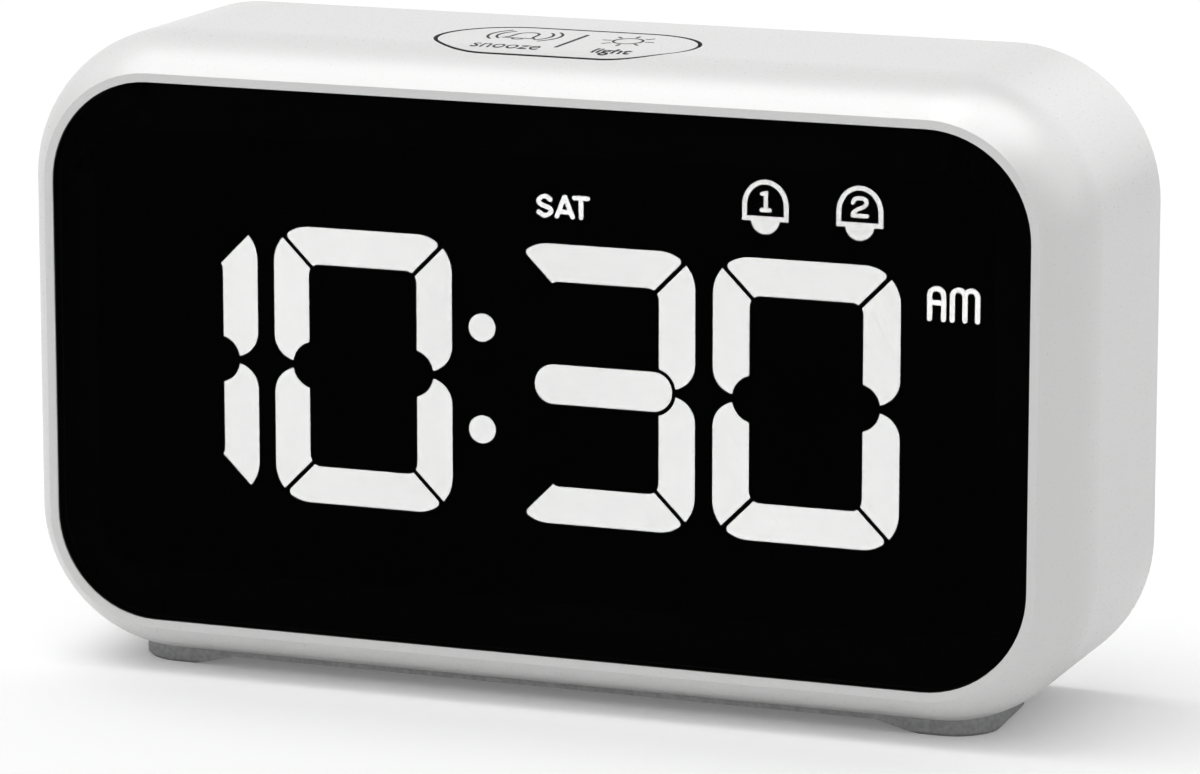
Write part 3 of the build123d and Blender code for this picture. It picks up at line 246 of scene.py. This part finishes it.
# Materials
def surface(name, colour, shift=0.03, rough=(0.4, 0.5), patch=60, grain=2500, relief=0.15, depth=0.02,
            stretch=(1, 1, 1), **sockets):
    """Moulded, drawn or coated finish: slow colour drift, fine grain in gloss and relief."""
    material, tree, shader = new_material(name)
    slow = noise(tree, patch)
    fine = noise(tree, grain, 3.0, stretch)
    low = [max(0.0, part * (1 - shift)) for part in colour]
    high = [min(1.0, part * (1 + shift)) for part in colour]
    tree.links.new(ramp(tree, slow, low, high), shader.inputs["Base Color"])
    tree.links.new(remap(tree, fine, *rough), shader.inputs["Roughness"])
    bump(tree, shader, fine, relief, depth * MM)
    for socket, value in sockets.items():
        shader.inputs[socket.replace("_", " ")].default_value = value
    return material


def lit_finish(name, strength):
    """Lit stroke of the display, a little uneven like light from a guide plate."""
    material, tree, shader = new_material(name)
    glow = ramp(tree, noise(tree, LIT_PATCH), LIT_DIM, LIT_BRIGHT)
    tree.links.new(glow, shader.inputs["Emission Color"])
    tree.links.new(remap(tree, noise(tree, LIT_GRAIN), *LIT_ROUGH), shader.inputs["Roughness"])
    shader.inputs["Emission Strength"].default_value = strength
    shader.inputs["Base Color"].default_value = (0, 0, 0, 1)
    return material


def shade_gap(material):
    """Darken the upright walls of the narrow gap round the snooze button, where little light falls."""
    tree = material.node_tree
    place = box_place(tree, CAP_LOW, CAP_HIGH, (GAP_REACH, GAP_REACH, 0))
    near = calc(tree, "LESS_THAN", reach(tree, place, "XY"), 1)
    upright = calc(tree, "LESS_THAN", reach(tree, facing(tree), "Z"), UPRIGHT)
    hidden = calc(tree, "MULTIPLY", near, upright)
    tint_where(material, hidden, GAP_SHADE)
    rough = tree.nodes["Principled BSDF"].inputs["Roughness"]
    tree.links.new(calc(tree, "MAXIMUM", rough.links[0].from_socket, hidden), rough)


def shade_seat(material):
    """Darken the walls that the window sits between, as the black edge of the window does."""
    tree = material.node_tree
    place = box_place(tree, WINDOW_LOW, WINDOW_HIGH, (SEAT_REACH, 0, SEAT_REACH))
    beside = calc(tree, "LESS_THAN", reach(tree, place, "XYZ"), 1)
    inward = calc(tree, "LESS_THAN", dot(tree, place, facing(tree)), 0)
    tint_where(material, calc(tree, "MULTIPLY", beside, inward), SEAT_SHADE)


def bare_ends(material):
    """Leave the ends of the battery cells in bare metal, past the printed sleeve."""
    tree = material.node_tree
    low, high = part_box("battery_cells")
    place = box_place(tree, low, high, (-SLEEVE_BARE, 0, 0))
    bare = calc(tree, "GREATER_THAN", reach(tree, place, "X"), 1)
    tint_where(material, bare, STEEL)
    tree.links.new(bare, tree.nodes["Principled BSDF"].inputs["Metallic"])


SATIN_CASE = dict(colour=PLASTIC_WHITE, shift=0.008, rough=(0.27, 0.31), patch=40, grain=3200, relief=0.005,
                  Specular_IOR_Level=0.75)
MATT_COVER = dict(colour=COVER_WHITE, shift=0.012, rough=(0.45, 0.55), patch=40, grain=2200, relief=0.16,
                  depth=0.03)
CLEAR_SHEET = dict(shift=0.1, patch=30, grain=900, relief=0.02, depth=0.01)
METAL = dict(shift=0.05, patch=200, grain=1800, relief=0.12, Metallic=1.0)
INK = dict(patch=200, grain=2600, relief=0.1, depth=0.01)

FINISHES = {
    "case_white": SATIN_CASE,
    "button_white": SATIN_CASE,
    "cover_white": MATT_COVER,
    "door_white": MATT_COVER,
    "inner_plastic": dict(colour=(0.68, 0.68, 0.67), shift=0.02, rough=(0.5, 0.6)),
    "pad_rubber": dict(colour=(0.35, 0.35, 0.355), shift=0.14, rough=(0.75, 0.9), patch=1700, grain=2600,
                       relief=0.35, depth=0.06),
    "window_tint": dict(CLEAR_SHEET, colour=(0.001, 0.001, 0.001), rough=(0.10, 0.16), Alpha=0.6,
                        Specular_IOR_Level=0.01),
    "black_film": dict(colour=(0.002, 0.002, 0.002), shift=0.1, rough=(0.5, 0.6), Specular_IOR_Level=0.1),
    "cell_glass": dict(CLEAR_SHEET, colour=(0.004, 0.004, 0.004), rough=(0.05, 0.10), Alpha=0.06,
                       Specular_IOR_Level=0.01),
    "dark_glass": dict(CLEAR_SHEET, colour=(0.001, 0.001, 0.001), rough=(0.25, 0.35),
                       Specular_IOR_Level=0.02),
    "clear_acrylic": dict(CLEAR_SHEET, colour=(0.85, 0.9, 0.9), rough=(0.06, 0.12), Alpha=0.4),
    "white_sheet": dict(colour=(0.85, 0.85, 0.85), shift=0.01, rough=(0.5, 0.6)),
    "board_green": dict(colour=(0.03, 0.17, 0.08), shift=0.15, rough=(0.3, 0.4), patch=500, grain=1500,
                        relief=0.2),
    "lamp_resin": dict(colour=(0.9, 0.84, 0.5), shift=0.05, rough=(0.2, 0.3)),
    "zebra_rubber": dict(colour=(0.7, 0.42, 0.4), shift=0.08, rough=(0.6, 0.75)),
    "black_resin": dict(colour=(0.015, 0.015, 0.016), shift=0.2, rough=(0.2, 0.35)),
    "steel": dict(METAL, colour=STEEL, rough=(0.3, 0.44), stretch=(1, 1, 8)),
    "spring_steel": dict(METAL, colour=(0.66, 0.66, 0.67), rough=(0.22, 0.34), patch=300, grain=2200),
    "contact_metal": dict(METAL, colour=(0.7, 0.69, 0.66), rough=(0.25, 0.38), stretch=(1, 6, 1)),
    "capacitor_sleeve": dict(colour=(0.03, 0.05, 0.14), shift=0.1, rough=(0.25, 0.35)),
    "switch_black": dict(colour=(0.03, 0.03, 0.03), shift=0.15, rough=(0.45, 0.6)),
    "plunger_grey": dict(colour=(0.25, 0.25, 0.25), shift=0.08, rough=(0.4, 0.5)),
    "key_grey": dict(colour=(0.36, 0.36, 0.37), shift=0.04, rough=(0.42, 0.52), patch=80, grain=2400,
                     relief=0.2, depth=0.03),
    "cell_wrap": dict(colour=(0.07, 0.08, 0.09), shift=0.1, rough=(0.2, 0.3), patch=90, grain=1500,
                      relief=0.06),
    "brass_disc": dict(METAL, colour=(0.75, 0.55, 0.25), rough=(0.25, 0.35)),
    "ceramic_disc": dict(colour=(0.8, 0.79, 0.75), rough=(0.4, 0.5)),
    "wire_red": dict(colour=(0.45, 0.03, 0.025), shift=0.1, rough=(0.45, 0.55)),
    "wire_black": dict(colour=(0.02, 0.02, 0.02), shift=0.1, rough=(0.45, 0.55)),
    "ribbon_grey": dict(colour=(0.45, 0.45, 0.45), shift=0.05, rough=(0.5, 0.6), grain=900, relief=0.4,
                        depth=0.05, stretch=(9, 1, 1)),
}
MATERIALS = {slot: surface(slot, **finish) for slot, finish in FINISHES.items()}
MATERIALS["lit_segment"] = lit_finish("lit_segment", LIT_STRENGTH)
LIT_LETTER = lit_finish("lit_letter", LETTER_STRENGTH)
BUTTON_INK = surface("button_ink", INK_BLACK, shift=0.08, rough=(0.5, 0.65), **INK, Specular_IOR_Level=0.05)
REAR_INK = surface("rear_ink", INK_GREY, shift=0.06, rough=(0.5, 0.6), **INK)


def dress_nodes():
    """Give every node of the frame the finish of its slot."""
    shade_seat(MATERIALS["case_white"])
    shade_gap(MATERIALS["case_white"])
    shade_gap(MATERIALS["button_white"])
    bare_ends(MATERIALS["cell_wrap"])
    for part in RECORD["subparts"]:
        node = NODES[part["node"]]
        node.data.materials.clear()
        node.data.materials.append(MATERIALS[part["material_slot"]])


# Flat shapes, as lists of points in millimetres
MITRE_LEAST = 0.4
LETTER_STEPS = 4
POINT_MERGE = 1e-5


def arc(x, z, wide, high, start, end, steps=16):
    """Points on an ellipse from one angle to another, in degrees."""
    angles = [math.radians(start + (end - start) * i / steps) for i in range(steps + 1)]
    return [(x + wide * math.cos(a), z + high * math.sin(a)) for a in angles]


def spline_value(before, start, end, after, t):
    """Catmull-Rom value at a share of the way from a start to an end."""
    square = 2 * before - 5 * start + 4 * end - after
    cube = 3 * start - before - 3 * end + after
    return 0.5 * (2 * start + (end - before) * t + square * t * t + cube * t ** 3)


def smooth(points, steps=6):
    """Curve through points, as a Catmull-Rom spline."""
    ends = [points[0], *points, points[-1]]
    curve = []
    for four in zip(ends, ends[1:], ends[2:], ends[3:]):
        for i in range(steps):
            curve.append(tuple(spline_value(*values, i / steps) for values in zip(*four)))
    return [*curve, points[-1]]


def shifted(points, x, z):
    """Points moved across and up."""
    return [(px + x, pz + z) for px, pz in points]


def stroke(points, width, closed=False, cap_steps=8):
    """Shapes of an even stroke along points, with round ends unless it is closed."""
    path = [Vector(p) for p in points]
    if not closed:
        path = [2 * path[0] - path[1], *path, 2 * path[-1] - path[-2]]
    else:
        path = [path[-1], *path, path[0]]
    sides = []
    for before, here, after in zip(path, path[1:], path[2:]):
        into = (here - before).normalized()
        out = (after - here).normalized()
        middle = (into + out).normalized()
        side = Vector((-middle.y, middle.x)) * (width / 2 / max(MITRE_LEAST, middle.dot(out)))
        sides.append((here + side, here - side))
    if closed:
        sides.append(sides[0])
    shapes = [(left, right, next_right, next_left)
              for (left, right), (next_left, next_right) in zip(sides, sides[1:])]
    if not closed:
        for end, ahead in ((path[1], path[0]), (path[-2], path[-1])):
            turn = math.degrees(math.atan2(*reversed(ahead - end)))
            shapes.append(arc(*end, width / 2, width / 2, turn - 90, turn + 90, cap_steps))
    return shapes


def words(text, left, right, low, high, weight=0.0):
    """Shapes of plain lettering that fills a box."""
    curve = bpy.data.curves.new("lettering", "FONT")
    curve.body = text
    curve.offset = weight
    curve.resolution_u = LETTER_STEPS
    holder = bpy.data.objects.new("lettering", curve)
    bpy.context.scene.collection.objects.link(holder)
    bpy.context.view_layer.update()
    mesh = bpy.data.meshes.new_from_object(holder.evaluated_get(bpy.context.evaluated_depsgraph_get()))
    xs = [v.co.x for v in mesh.vertices]
    ys = [v.co.y for v in mesh.vertices]
    wide = (right - left) / (max(xs) - min(xs))
    tall = (high - low) / (max(ys) - min(ys))
    points = [(left + (x - min(xs)) * wide, low + (y - min(ys)) * tall) for x, y in zip(xs, ys)]
    shapes = [[points[i] for i in face.vertices] for face in mesh.polygons]
    bpy.data.objects.remove(holder)
    bpy.data.curves.remove(curve)
    bpy.data.meshes.remove(mesh)
    return shapes


def union(shapes):
    """One flat mesh of the area that shapes cover together."""
    points = [Vector(p) for shape in shapes for p in shape]
    faces = []
    for shape in shapes:
        start = faces[-1][-1] + 1 if faces else 0
        faces.append(list(range(start, start + len(shape))))
    covered = BVHTree.FromPolygons([(*p, 0) for p in points], faces)
    corners, _, triangles, _, _, _ = delaunay_2d_cdt(points, [], faces, 1, POINT_MERGE)
    flat = bmesh.new()
    verts = [flat.verts.new((*p, 0)) for p in corners]
    for triangle in triangles:
        middle = sum((corners[i] for i in triangle), Vector((0, 0))) / 3
        if covered.ray_cast(Vector((*middle, 1)), Vector((0, 0, -1)))[0]:
            flat.faces.new([verts[i] for i in triangle])
    loose = [v for v in flat.verts if not v.link_faces]
    bmesh.ops.delete(flat, geom=loose, context="VERTS")
    return flat


def cut_across(flat, step):
    """Divide a flat mesh at even depths, so that it can follow the curve of the case."""
    depths = [v.co.y for v in flat.verts]
    cut = min(depths) + step
    while cut < max(depths):
        geometry = [*flat.verts, *flat.edges, *flat.faces]
        bmesh.ops.bisect_plane(flat, geom=geometry, plane_co=(0, cut, 0), plane_no=(0, 1, 0))
        cut += step


# Pieces
def add_piece(name, form, material, body):
    """Object of a finished mesh that rides on a body."""
    bmesh.ops.recalc_face_normals(form, faces=form.faces)
    mesh = bpy.data.meshes.new(name)
    form.to_mesh(mesh)
    form.free()
    mesh.materials.append(material)
    piece = bpy.data.objects.new(name, mesh)
    bpy.context.scene.collection.objects.link(piece)
    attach(piece, body)
    return piece


def thicken(flat, place, near, far):
    """Closed thin solid of a flat mesh; place gives the point for a flat place and a level."""
    made = bmesh.ops.extrude_face_region(flat, geom=list(flat.faces))
    lifted = {item for item in made["geom"] if isinstance(item, bmesh.types.BMVert)}
    for vert in flat.verts:
        vert.co = place(vert.co.x, vert.co.y, far if vert in lifted else near)
    return flat


# Display marks, in millimetres from the middle of the window
DAY_PLACE = (-0.77, 21.18)
DAY_STROKE = 0.58
NOON_STROKE = 0.64
NOON_LOW = 11.43
NOON_SPRING = 14.53
NOON_RISE = 0.88
NOON_BAR_Z = 13.57
NOON_LEGS = (53.83, 55.72, 56.89, 58.60, 60.31)
BELL_STROKE = 0.6
BELL_X = (31.30, 44.24)
BELL_BASE = 23.04
BELL_HALF = 2.87
BELL_SPRING = 1.66
BELL_RISE = 3.17
CLAPPER_R = 1.95
CLAPPER_DROP = 0.1
NUMERAL_STROKE = 0.52


def on_display(x, z, y):
    """Place in the gap of the display cell."""
    return Vector((x * MM, y, MID_Z + z * MM))


def display_piece(name, shapes, finish):
    """Lit mark in the gap of the display cell."""
    form = thicken(union(shapes), on_display, CELL_NEAR + CELL_INSET, CELL_FAR - CELL_INSET)
    add_piece(name, form, finish, "case")


def day_mark():
    """Day of the week in rounded capitals."""
    s_curve = smooth([(2.02, 2.52), (1.25, 2.94), (0.42, 2.45), (0.58, 1.9), (1.25, 1.62),
                      (1.98, 1.32), (2.08, 0.8), (1.25, 0.36), (0.38, 0.78)])
    lines = [s_curve,
             [(2.95, 0.36), (4.02, 2.94), (4.12, 2.94), (5.18, 0.36)],
             [(3.3, 0.98), (4.85, 0.98)],
             [(5.42, 2.94), (7.32, 2.94)],
             [(6.37, 2.94), (6.37, 0.36)]]
    shapes = []
    for line in lines:
        shapes += stroke(shifted(line, *DAY_PLACE), DAY_STROKE)
    display_piece("day_mark", shapes, LIT_LETTER)


def noon_mark():
    """Half of the day in arched capitals."""
    first, second, third, fourth, fifth = NOON_LEGS
    shapes = stroke([(first, NOON_BAR_Z), (second, NOON_BAR_Z)], NOON_STROKE)
    for left, right in ((first, second), (third, fourth), (fourth, fifth)):
        half = (right - left) / 2
        top = arc(left + half, NOON_SPRING, half, NOON_RISE, 180, 0, 12)
        shapes += stroke([(left, NOON_LOW), *top, (right, NOON_LOW)], NOON_STROKE)
    display_piece("noon_mark", shapes, LIT_LETTER)


def alarm_mark(number, x, numeral):
    """Bell outline with its clapper and a number inside."""
    dome = arc(0, BELL_SPRING, BELL_HALF, BELL_RISE, 180, 0, 24)
    outline = [(-BELL_HALF, 0), *dome, (BELL_HALF, 0)]
    shapes = stroke(shifted(outline, x, BELL_BASE), BELL_STROKE, closed=True)
    shapes.append(shifted(arc(0, -CLAPPER_DROP, CLAPPER_R, CLAPPER_R, 180, 360), x, BELL_BASE))
    for line in numeral:
        shapes += stroke(shifted(line, x, BELL_BASE), NUMERAL_STROKE)
    display_piece(f"alarm_mark_{number}", shapes, MATERIALS["lit_segment"])


def alarm_marks():
    """The two alarm bells."""
    one = [[(-0.45, 3.25), (0.05, 3.37), (0.05, 1.15)], [(-0.5, 1.13), (0.6, 1.13)]]
    two_curve = smooth([(-0.95, 2.9), (-0.7, 3.35), (0.0, 3.51), (0.75, 3.3), (0.85, 2.75), (0.45, 2.35),
                        (-0.35, 2.0), (-0.88, 1.55), (-0.95, 1.2)], 4)
    two = [two_curve, [(-0.95, 1.2), (0.95, 1.2)]]
    for number, (x, numeral) in enumerate(zip(BELL_X, (one, two)), 1):
        alarm_mark(number, x, numeral)


# Black border printed behind the window, in millimetres
MASK_SIDE = 5.4
MASK_TOP = 6.8
MASK_R = 6.0
WINDOW_R = 14.2


def rounded(half_wide, half_high, radius, steps=12):
    """Outline of a rectangle with round corners."""
    corners = ((1, 1, 0), (-1, 1, 90), (-1, -1, 180), (1, -1, 270))
    points = []
    for side, rise, start in corners:
        x = side * (half_wide - radius)
        z = rise * (half_high - radius)
        points += arc(x, z, radius, radius, start, start + 90, steps)
    return points


def window_mask():
    """Black border on the back of the window, in the place of the plain adhesive frame."""
    half_wide = (WINDOW_HIGH.x - WINDOW_LOW.x) / 2 / MM
    half_high = (WINDOW_HIGH.z - WINDOW_LOW.z) / 2 / MM
    outer = rounded(half_wide, half_high, WINDOW_R)
    inner = rounded(half_wide - MASK_SIDE, half_high - MASK_TOP, MASK_R)
    shapes = [(outer[i - 1], outer[i], inner[i], inner[i - 1]) for i in range(len(outer))]
    low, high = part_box("window_tape")
    form = thicken(union(shapes), on_display, low.y, high.y)
    piece = add_piece("window_mask", form, MATERIALS["black_film"], "case")
    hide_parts("window_tape")


# Print on the snooze button, in millimetres across and behind the front ring
PRINT_STROKE = 0.36
DIVIDER_STROKE = 0.52
PRINT_CUT = 0.7
DIVIDER_X = -0.6
DIVIDER_ENDS = (11.9, 23.6)
ALARM_PLACE = (-8.3, 20.3)
SUN_PLACE = (6.4, 20.4)
SUN_RING = (1.95, 2.45)
SUN_RAYS = 8
RAY_ENDS = (1.3, 1.8)
WAVES = ((3.7, 4.5), (4.9, 5.8))
WAVE_HALF_TURN = 45
SNOOZE_WORD = (-12.0, -2.4, 9.5, 11.9)
LIGHT_WORD = (5.1, 10.4, 8.75, 12.9)
LIGHT_WEIGHT = 0.018


def on_button():
    """Function that drops a place in the plan onto the button and lifts it by a level."""
    mesh = NODES["snooze_button"].data
    tree = BVHTree.FromPolygons([v.co for v in mesh.vertices], [p.vertices for p in mesh.polygons])

    def place(x, depth, level):
        above = Vector((x * MM, FRONT_Y + depth * MM, CAP_HIGH.z + MM))
        hit, normal, _, _ = tree.ray_cast(above, Vector((0, 0, -1)))
        return hit + normal * level

    return place


def bell_print():
    """Bell with two sound arcs on each side."""
    bell = [(-2.2, -2.4), (-1.65, -1.4), (-1.55, 0.6), *arc(0, 0.9, 1.5, 1.9, 180, 0, 12), (1.55, 0.6),
            (1.65, -1.4), (2.2, -2.4)]
    lines = [arc(0, -2.7, 0.75, 0.8, 200, 340, 8)]
    for wide, high in WAVES:
        for middle in (0, 180):
            lines.append(arc(0, 0, wide, high, middle - WAVE_HALF_TURN, middle + WAVE_HALF_TURN, 14))
    shapes = stroke(shifted(bell, *ALARM_PLACE), PRINT_STROKE, closed=True)
    for line in lines:
        shapes += stroke(shifted(line, *ALARM_PLACE), PRINT_STROKE)
    return shapes


def sun_print():
    """Sun with short rays."""
    wide, high = SUN_RING
    ring = arc(*SUN_PLACE, wide, high, 0, 360, 32)[:-1]
    shapes = stroke(ring, PRINT_STROKE, closed=True)
    for ray in range(SUN_RAYS):
        turn = math.tau * ray / SUN_RAYS
        ends = [(far * wide * math.cos(turn), far * high * math.sin(turn)) for far in RAY_ENDS]
        shapes += stroke(shifted(ends, *SUN_PLACE), PRINT_STROKE)
    return shapes


def button_print():
    """Signs and words for the two functions of the button, with a line between them."""
    divider = [(DIVIDER_X, depth) for depth in DIVIDER_ENDS]
    shapes = bell_print() + sun_print() + stroke(divider, DIVIDER_STROKE)
    shapes += words("snooze", *SNOOZE_WORD)
    shapes += words("light", *LIGHT_WORD, LIGHT_WEIGHT)
    flat = union(shapes)
    cut_across(flat, PRINT_CUT)
    form = thicken(flat, on_button(), -INK_BELOW, INK_ABOVE)
    add_piece("button_print", form, BUTTON_INK, "snooze")


# Rear print, in millimetres
LABELS = {"mode_button": "MODE", "hour_button": "HOUR", "minute_button": "MIN", "alarm_button": "ALARM"}
LABEL_HIGH = 1.9
LABEL_GAP = 1.2
LETTER_HALF = 0.72
ON_SPAN = (-5.2, -2.0)
OFF_SPAN = (1.4, 5.8)


def on_back(x, z, level):
    """Place on the rear cover, read from behind."""
    return Vector((-x * MM, COVER_BACK + level, MID_Z + z * MM))


def rear_middle(node):
    """Middle of a rear control, across the cover as read from behind."""
    low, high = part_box(node)
    return -(low.x + high.x) / 2 / MM


def rear_print():
    """Function words over the rear keys and the slide."""
    low = (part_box("mode_button")[1].z - MID_Z) / MM + LABEL_GAP
    high = low + LABEL_HIGH
    shapes = []
    for node, text in LABELS.items():
        x = rear_middle(node)
        half = LETTER_HALF * len(text)
        shapes += words(text, x - half, x + half, low, high)
    x = rear_middle("slide_knob")
    for text, (left, right) in (("ON", ON_SPAN), ("OFF", OFF_SPAN)):
        shapes += words(text, x + left, x + right, low, high)
    form = thicken(union(shapes), on_back, -INK_BELOW, INK_ABOVE)
    add_piece("rear_print", form, REAR_INK, "case")


# Screws of the rear cover, in millimetres
HEAD_R = 2.3
HEAD_T = 1.4
HEAD_ROUND = 0.35
SHANK_R = 1.15
CROSS_HALF = 0.4
CROSS_REACH = 1.45
CROSS_DEPTH = 0.9
CROSS_DRAW = 0.7
RIM_STEPS = 12
LEAST_COSINE = 1e-6


def screw_turns():
    """Angles round a screw head, with the corners of its cross among them."""
    corner = math.atan2(CROSS_HALF, CROSS_REACH)
    quarter = [math.pi / 2 * i / RIM_STEPS for i in range(RIM_STEPS)]
    quarter = sorted([*quarter, corner, math.pi / 2 - corner])
    return [start * math.pi / 2 + turn for start in range(4) for turn in quarter]


def cross_reach(turn):
    """Distance from the middle of a cross recess to its edge."""
    across, along = sorted((abs(math.cos(turn)), abs(math.sin(turn))))
    return min(CROSS_REACH / along, CROSS_HALF / max(across, LEAST_COSINE))


def add_screw(form, x, z, tip, top):
    """Pan head screw with a cross recess, facing the back."""
    under = top - HEAD_T * MM
    round_low = top - HEAD_ROUND * MM
    recess = top - CROSS_DEPTH * MM
    turns = screw_turns()
    round_levels = [(SHANK_R, tip), (SHANK_R, under), (HEAD_R, under), (HEAD_R, round_low),
                    (HEAD_R - HEAD_ROUND, top)]
    cross = [cross_reach(turn) for turn in turns]
    bottom = [CROSS_DRAW * edge for edge in cross]
    levels = [([radius] * len(turns), y) for radius, y in round_levels]
    levels += [(cross, top), (bottom, recess)]
    rings = []
    for radii, y in levels:
        places = [(x + r * MM * math.cos(a), y, z + r * MM * math.sin(a)) for r, a in zip(radii, turns)]
        rings.append([form.verts.new(place) for place in places])
    for ring, after in zip(rings, rings[1:]):
        for i in range(len(ring)):
            form.faces.new((ring[i - 1], ring[i], after[i], after[i - 1]))
    form.faces.new(rings[0])
    form.faces.new(rings[-1])


def cover_screws():
    """The four screws of the rear cover, with their cross recesses."""
    form = bmesh.new()
    low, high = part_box("cover_screws")
    for x in (low.x + HEAD_R * MM, high.x - HEAD_R * MM):
        for z in (low.z + HEAD_R * MM, high.z - HEAD_R * MM):
            add_screw(form, x, z, low.y, high.y)
    piece = add_piece("cross_screws", form, MATERIALS["steel"], "case")
    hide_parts("cover_screws")


# Springs under the snooze button
def return_springs():
    """Springs under the snooze button, welded into one smooth piece that rides on the case."""
    form = bmesh.new()
    form.from_mesh(NODES["snooze_springs"].data)
    bmesh.ops.remove_doubles(form, verts=form.verts, dist=WELD)
    piece = add_piece("return_springs", form, MATERIALS["spring_steel"], "case")
    for face in piece.data.polygons:
        face.use_smooth = True
    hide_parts("snooze_springs")
    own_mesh(piece)


# Camera, stage and light
def camera():
    """Camera of the view that the object is matched in."""
    data = bpy.data.cameras.new("camera")
    data.lens = CAMERA_LENS
    data.sensor_width = CAMERA_SENSOR
    data.clip_start, data.clip_end = CAMERA_CLIP
    eye = bpy.data.objects.new("camera", data)
    forward = Vector(CAMERA_FORWARD).normalized()
    eye.location = CAMERA_PLACE
    eye.rotation_mode = "QUATERNION"
    eye.rotation_quaternion = forward.to_track_quat("-Z", "Y")
    bpy.context.scene.collection.objects.link(eye)
    bpy.context.scene.camera = eye


def floor_white():
    """Matt white paper, seen a little lifted so that the shadow stays soft."""
    material = surface("floor_white", FLOOR_WHITE, shift=0.004, rough=(0.8, 0.9), patch=3, grain=400,
                       relief=0.02, Specular_IOR_Level=0.0)
    tree = material.node_tree
    glow = tree.nodes.new("ShaderNodeEmission")
    glow.inputs["Strength"].default_value = FLOOR_GLOW
    mix = tree.nodes.new("ShaderNodeMixShader")
    path = tree.nodes.new("ShaderNodeLightPath")
    tree.links.new(remap(tree, path.outputs["Is Camera Ray"], 0, FLOOR_LIFT, 0, 1), mix.inputs["Fac"])
    tree.links.new(tree.nodes["Principled BSDF"].outputs["BSDF"], mix.inputs[1])
    tree.links.new(glow.outputs["Emission"], mix.inputs[2])
    tree.links.new(mix.outputs["Shader"], tree.nodes["Material Output"].inputs["Surface"])
    return material


def floor():
    """White studio floor."""
    mesh = bpy.data.meshes.new("floor")
    half = FLOOR_SIZE / 2
    corners = [(-half, -half, 0), (half, -half, 0), (half, half, 0), (-half, half, 0)]
    mesh.from_pydata(corners, [], [(0, 1, 2, 3)])
    mesh.materials.append(floor_white())
    piece = bpy.data.objects.new("floor", mesh)
    bpy.context.scene.collection.objects.link(piece)


def softbox(tree, direction, edge, level):
    """Light that fades out from a direction to an edge, given as a cosine."""
    place = tree.nodes.new("ShaderNodeTexCoord")
    near = dot(tree, place.outputs["Generated"], Vector(direction).normalized())
    fade = tree.nodes.new("ShaderNodeMapRange")
    fade.interpolation_type = "SMOOTHSTEP"
    fade.inputs["From Min"].default_value = edge
    fade.inputs["To Max"].default_value = level
    tree.links.new(near, fade.inputs["Value"])
    return fade.outputs["Result"]


def surroundings():
    """Even white surroundings, seen at full white and lighting the object at a plain level."""
    world = bpy.data.worlds.new("studio")
    bpy.context.scene.world = world
    world.use_nodes = True
    tree = world.node_tree
    shade = tree.nodes["Background"]
    shade.inputs["Color"].default_value = (1, 1, 1, 1)
    path = tree.nodes.new("ShaderNodeLightPath")
    gloss = WORLD_IN_GLOSS - WORLD_LEVEL
    for box in SOFTBOXES:
        gloss = calc(tree, "ADD", gloss, softbox(tree, *box))
    seen = calc(tree, "MAXIMUM", path.outputs["Is Camera Ray"], path.outputs["Is Transmission Ray"])
    level = remap(tree, seen, WORLD_LEVEL, 1.0, 0, 1)
    level = calc(tree, "MULTIPLY_ADD", gloss, path.outputs["Is Glossy Ray"], level)
    tree.links.new(level, shade.inputs["Strength"])


def lamps():
    """A soft lamp from above and a key lamp from the upper left."""
    for name, (level, spread, place) in LAMPS.items():
        data = bpy.data.lights.new(name, "SUN")
        data.energy = level
        data.angle = math.radians(spread)
        lamp = bpy.data.objects.new(name, data)
        lamp.rotation_mode = "QUATERNION"
        lamp.rotation_quaternion = Vector(place).to_track_quat("Z", "Y")
        bpy.context.scene.collection.objects.link(lamp)


dress_nodes()
day_mark()
noon_mark()
alarm_marks()
window_mask()
button_print()
rear_print()
cover_screws()
return_springs()
camera()
floor()
surroundings()
lamps()
bpy.context.scene.view_settings.view_transform = "Standard"
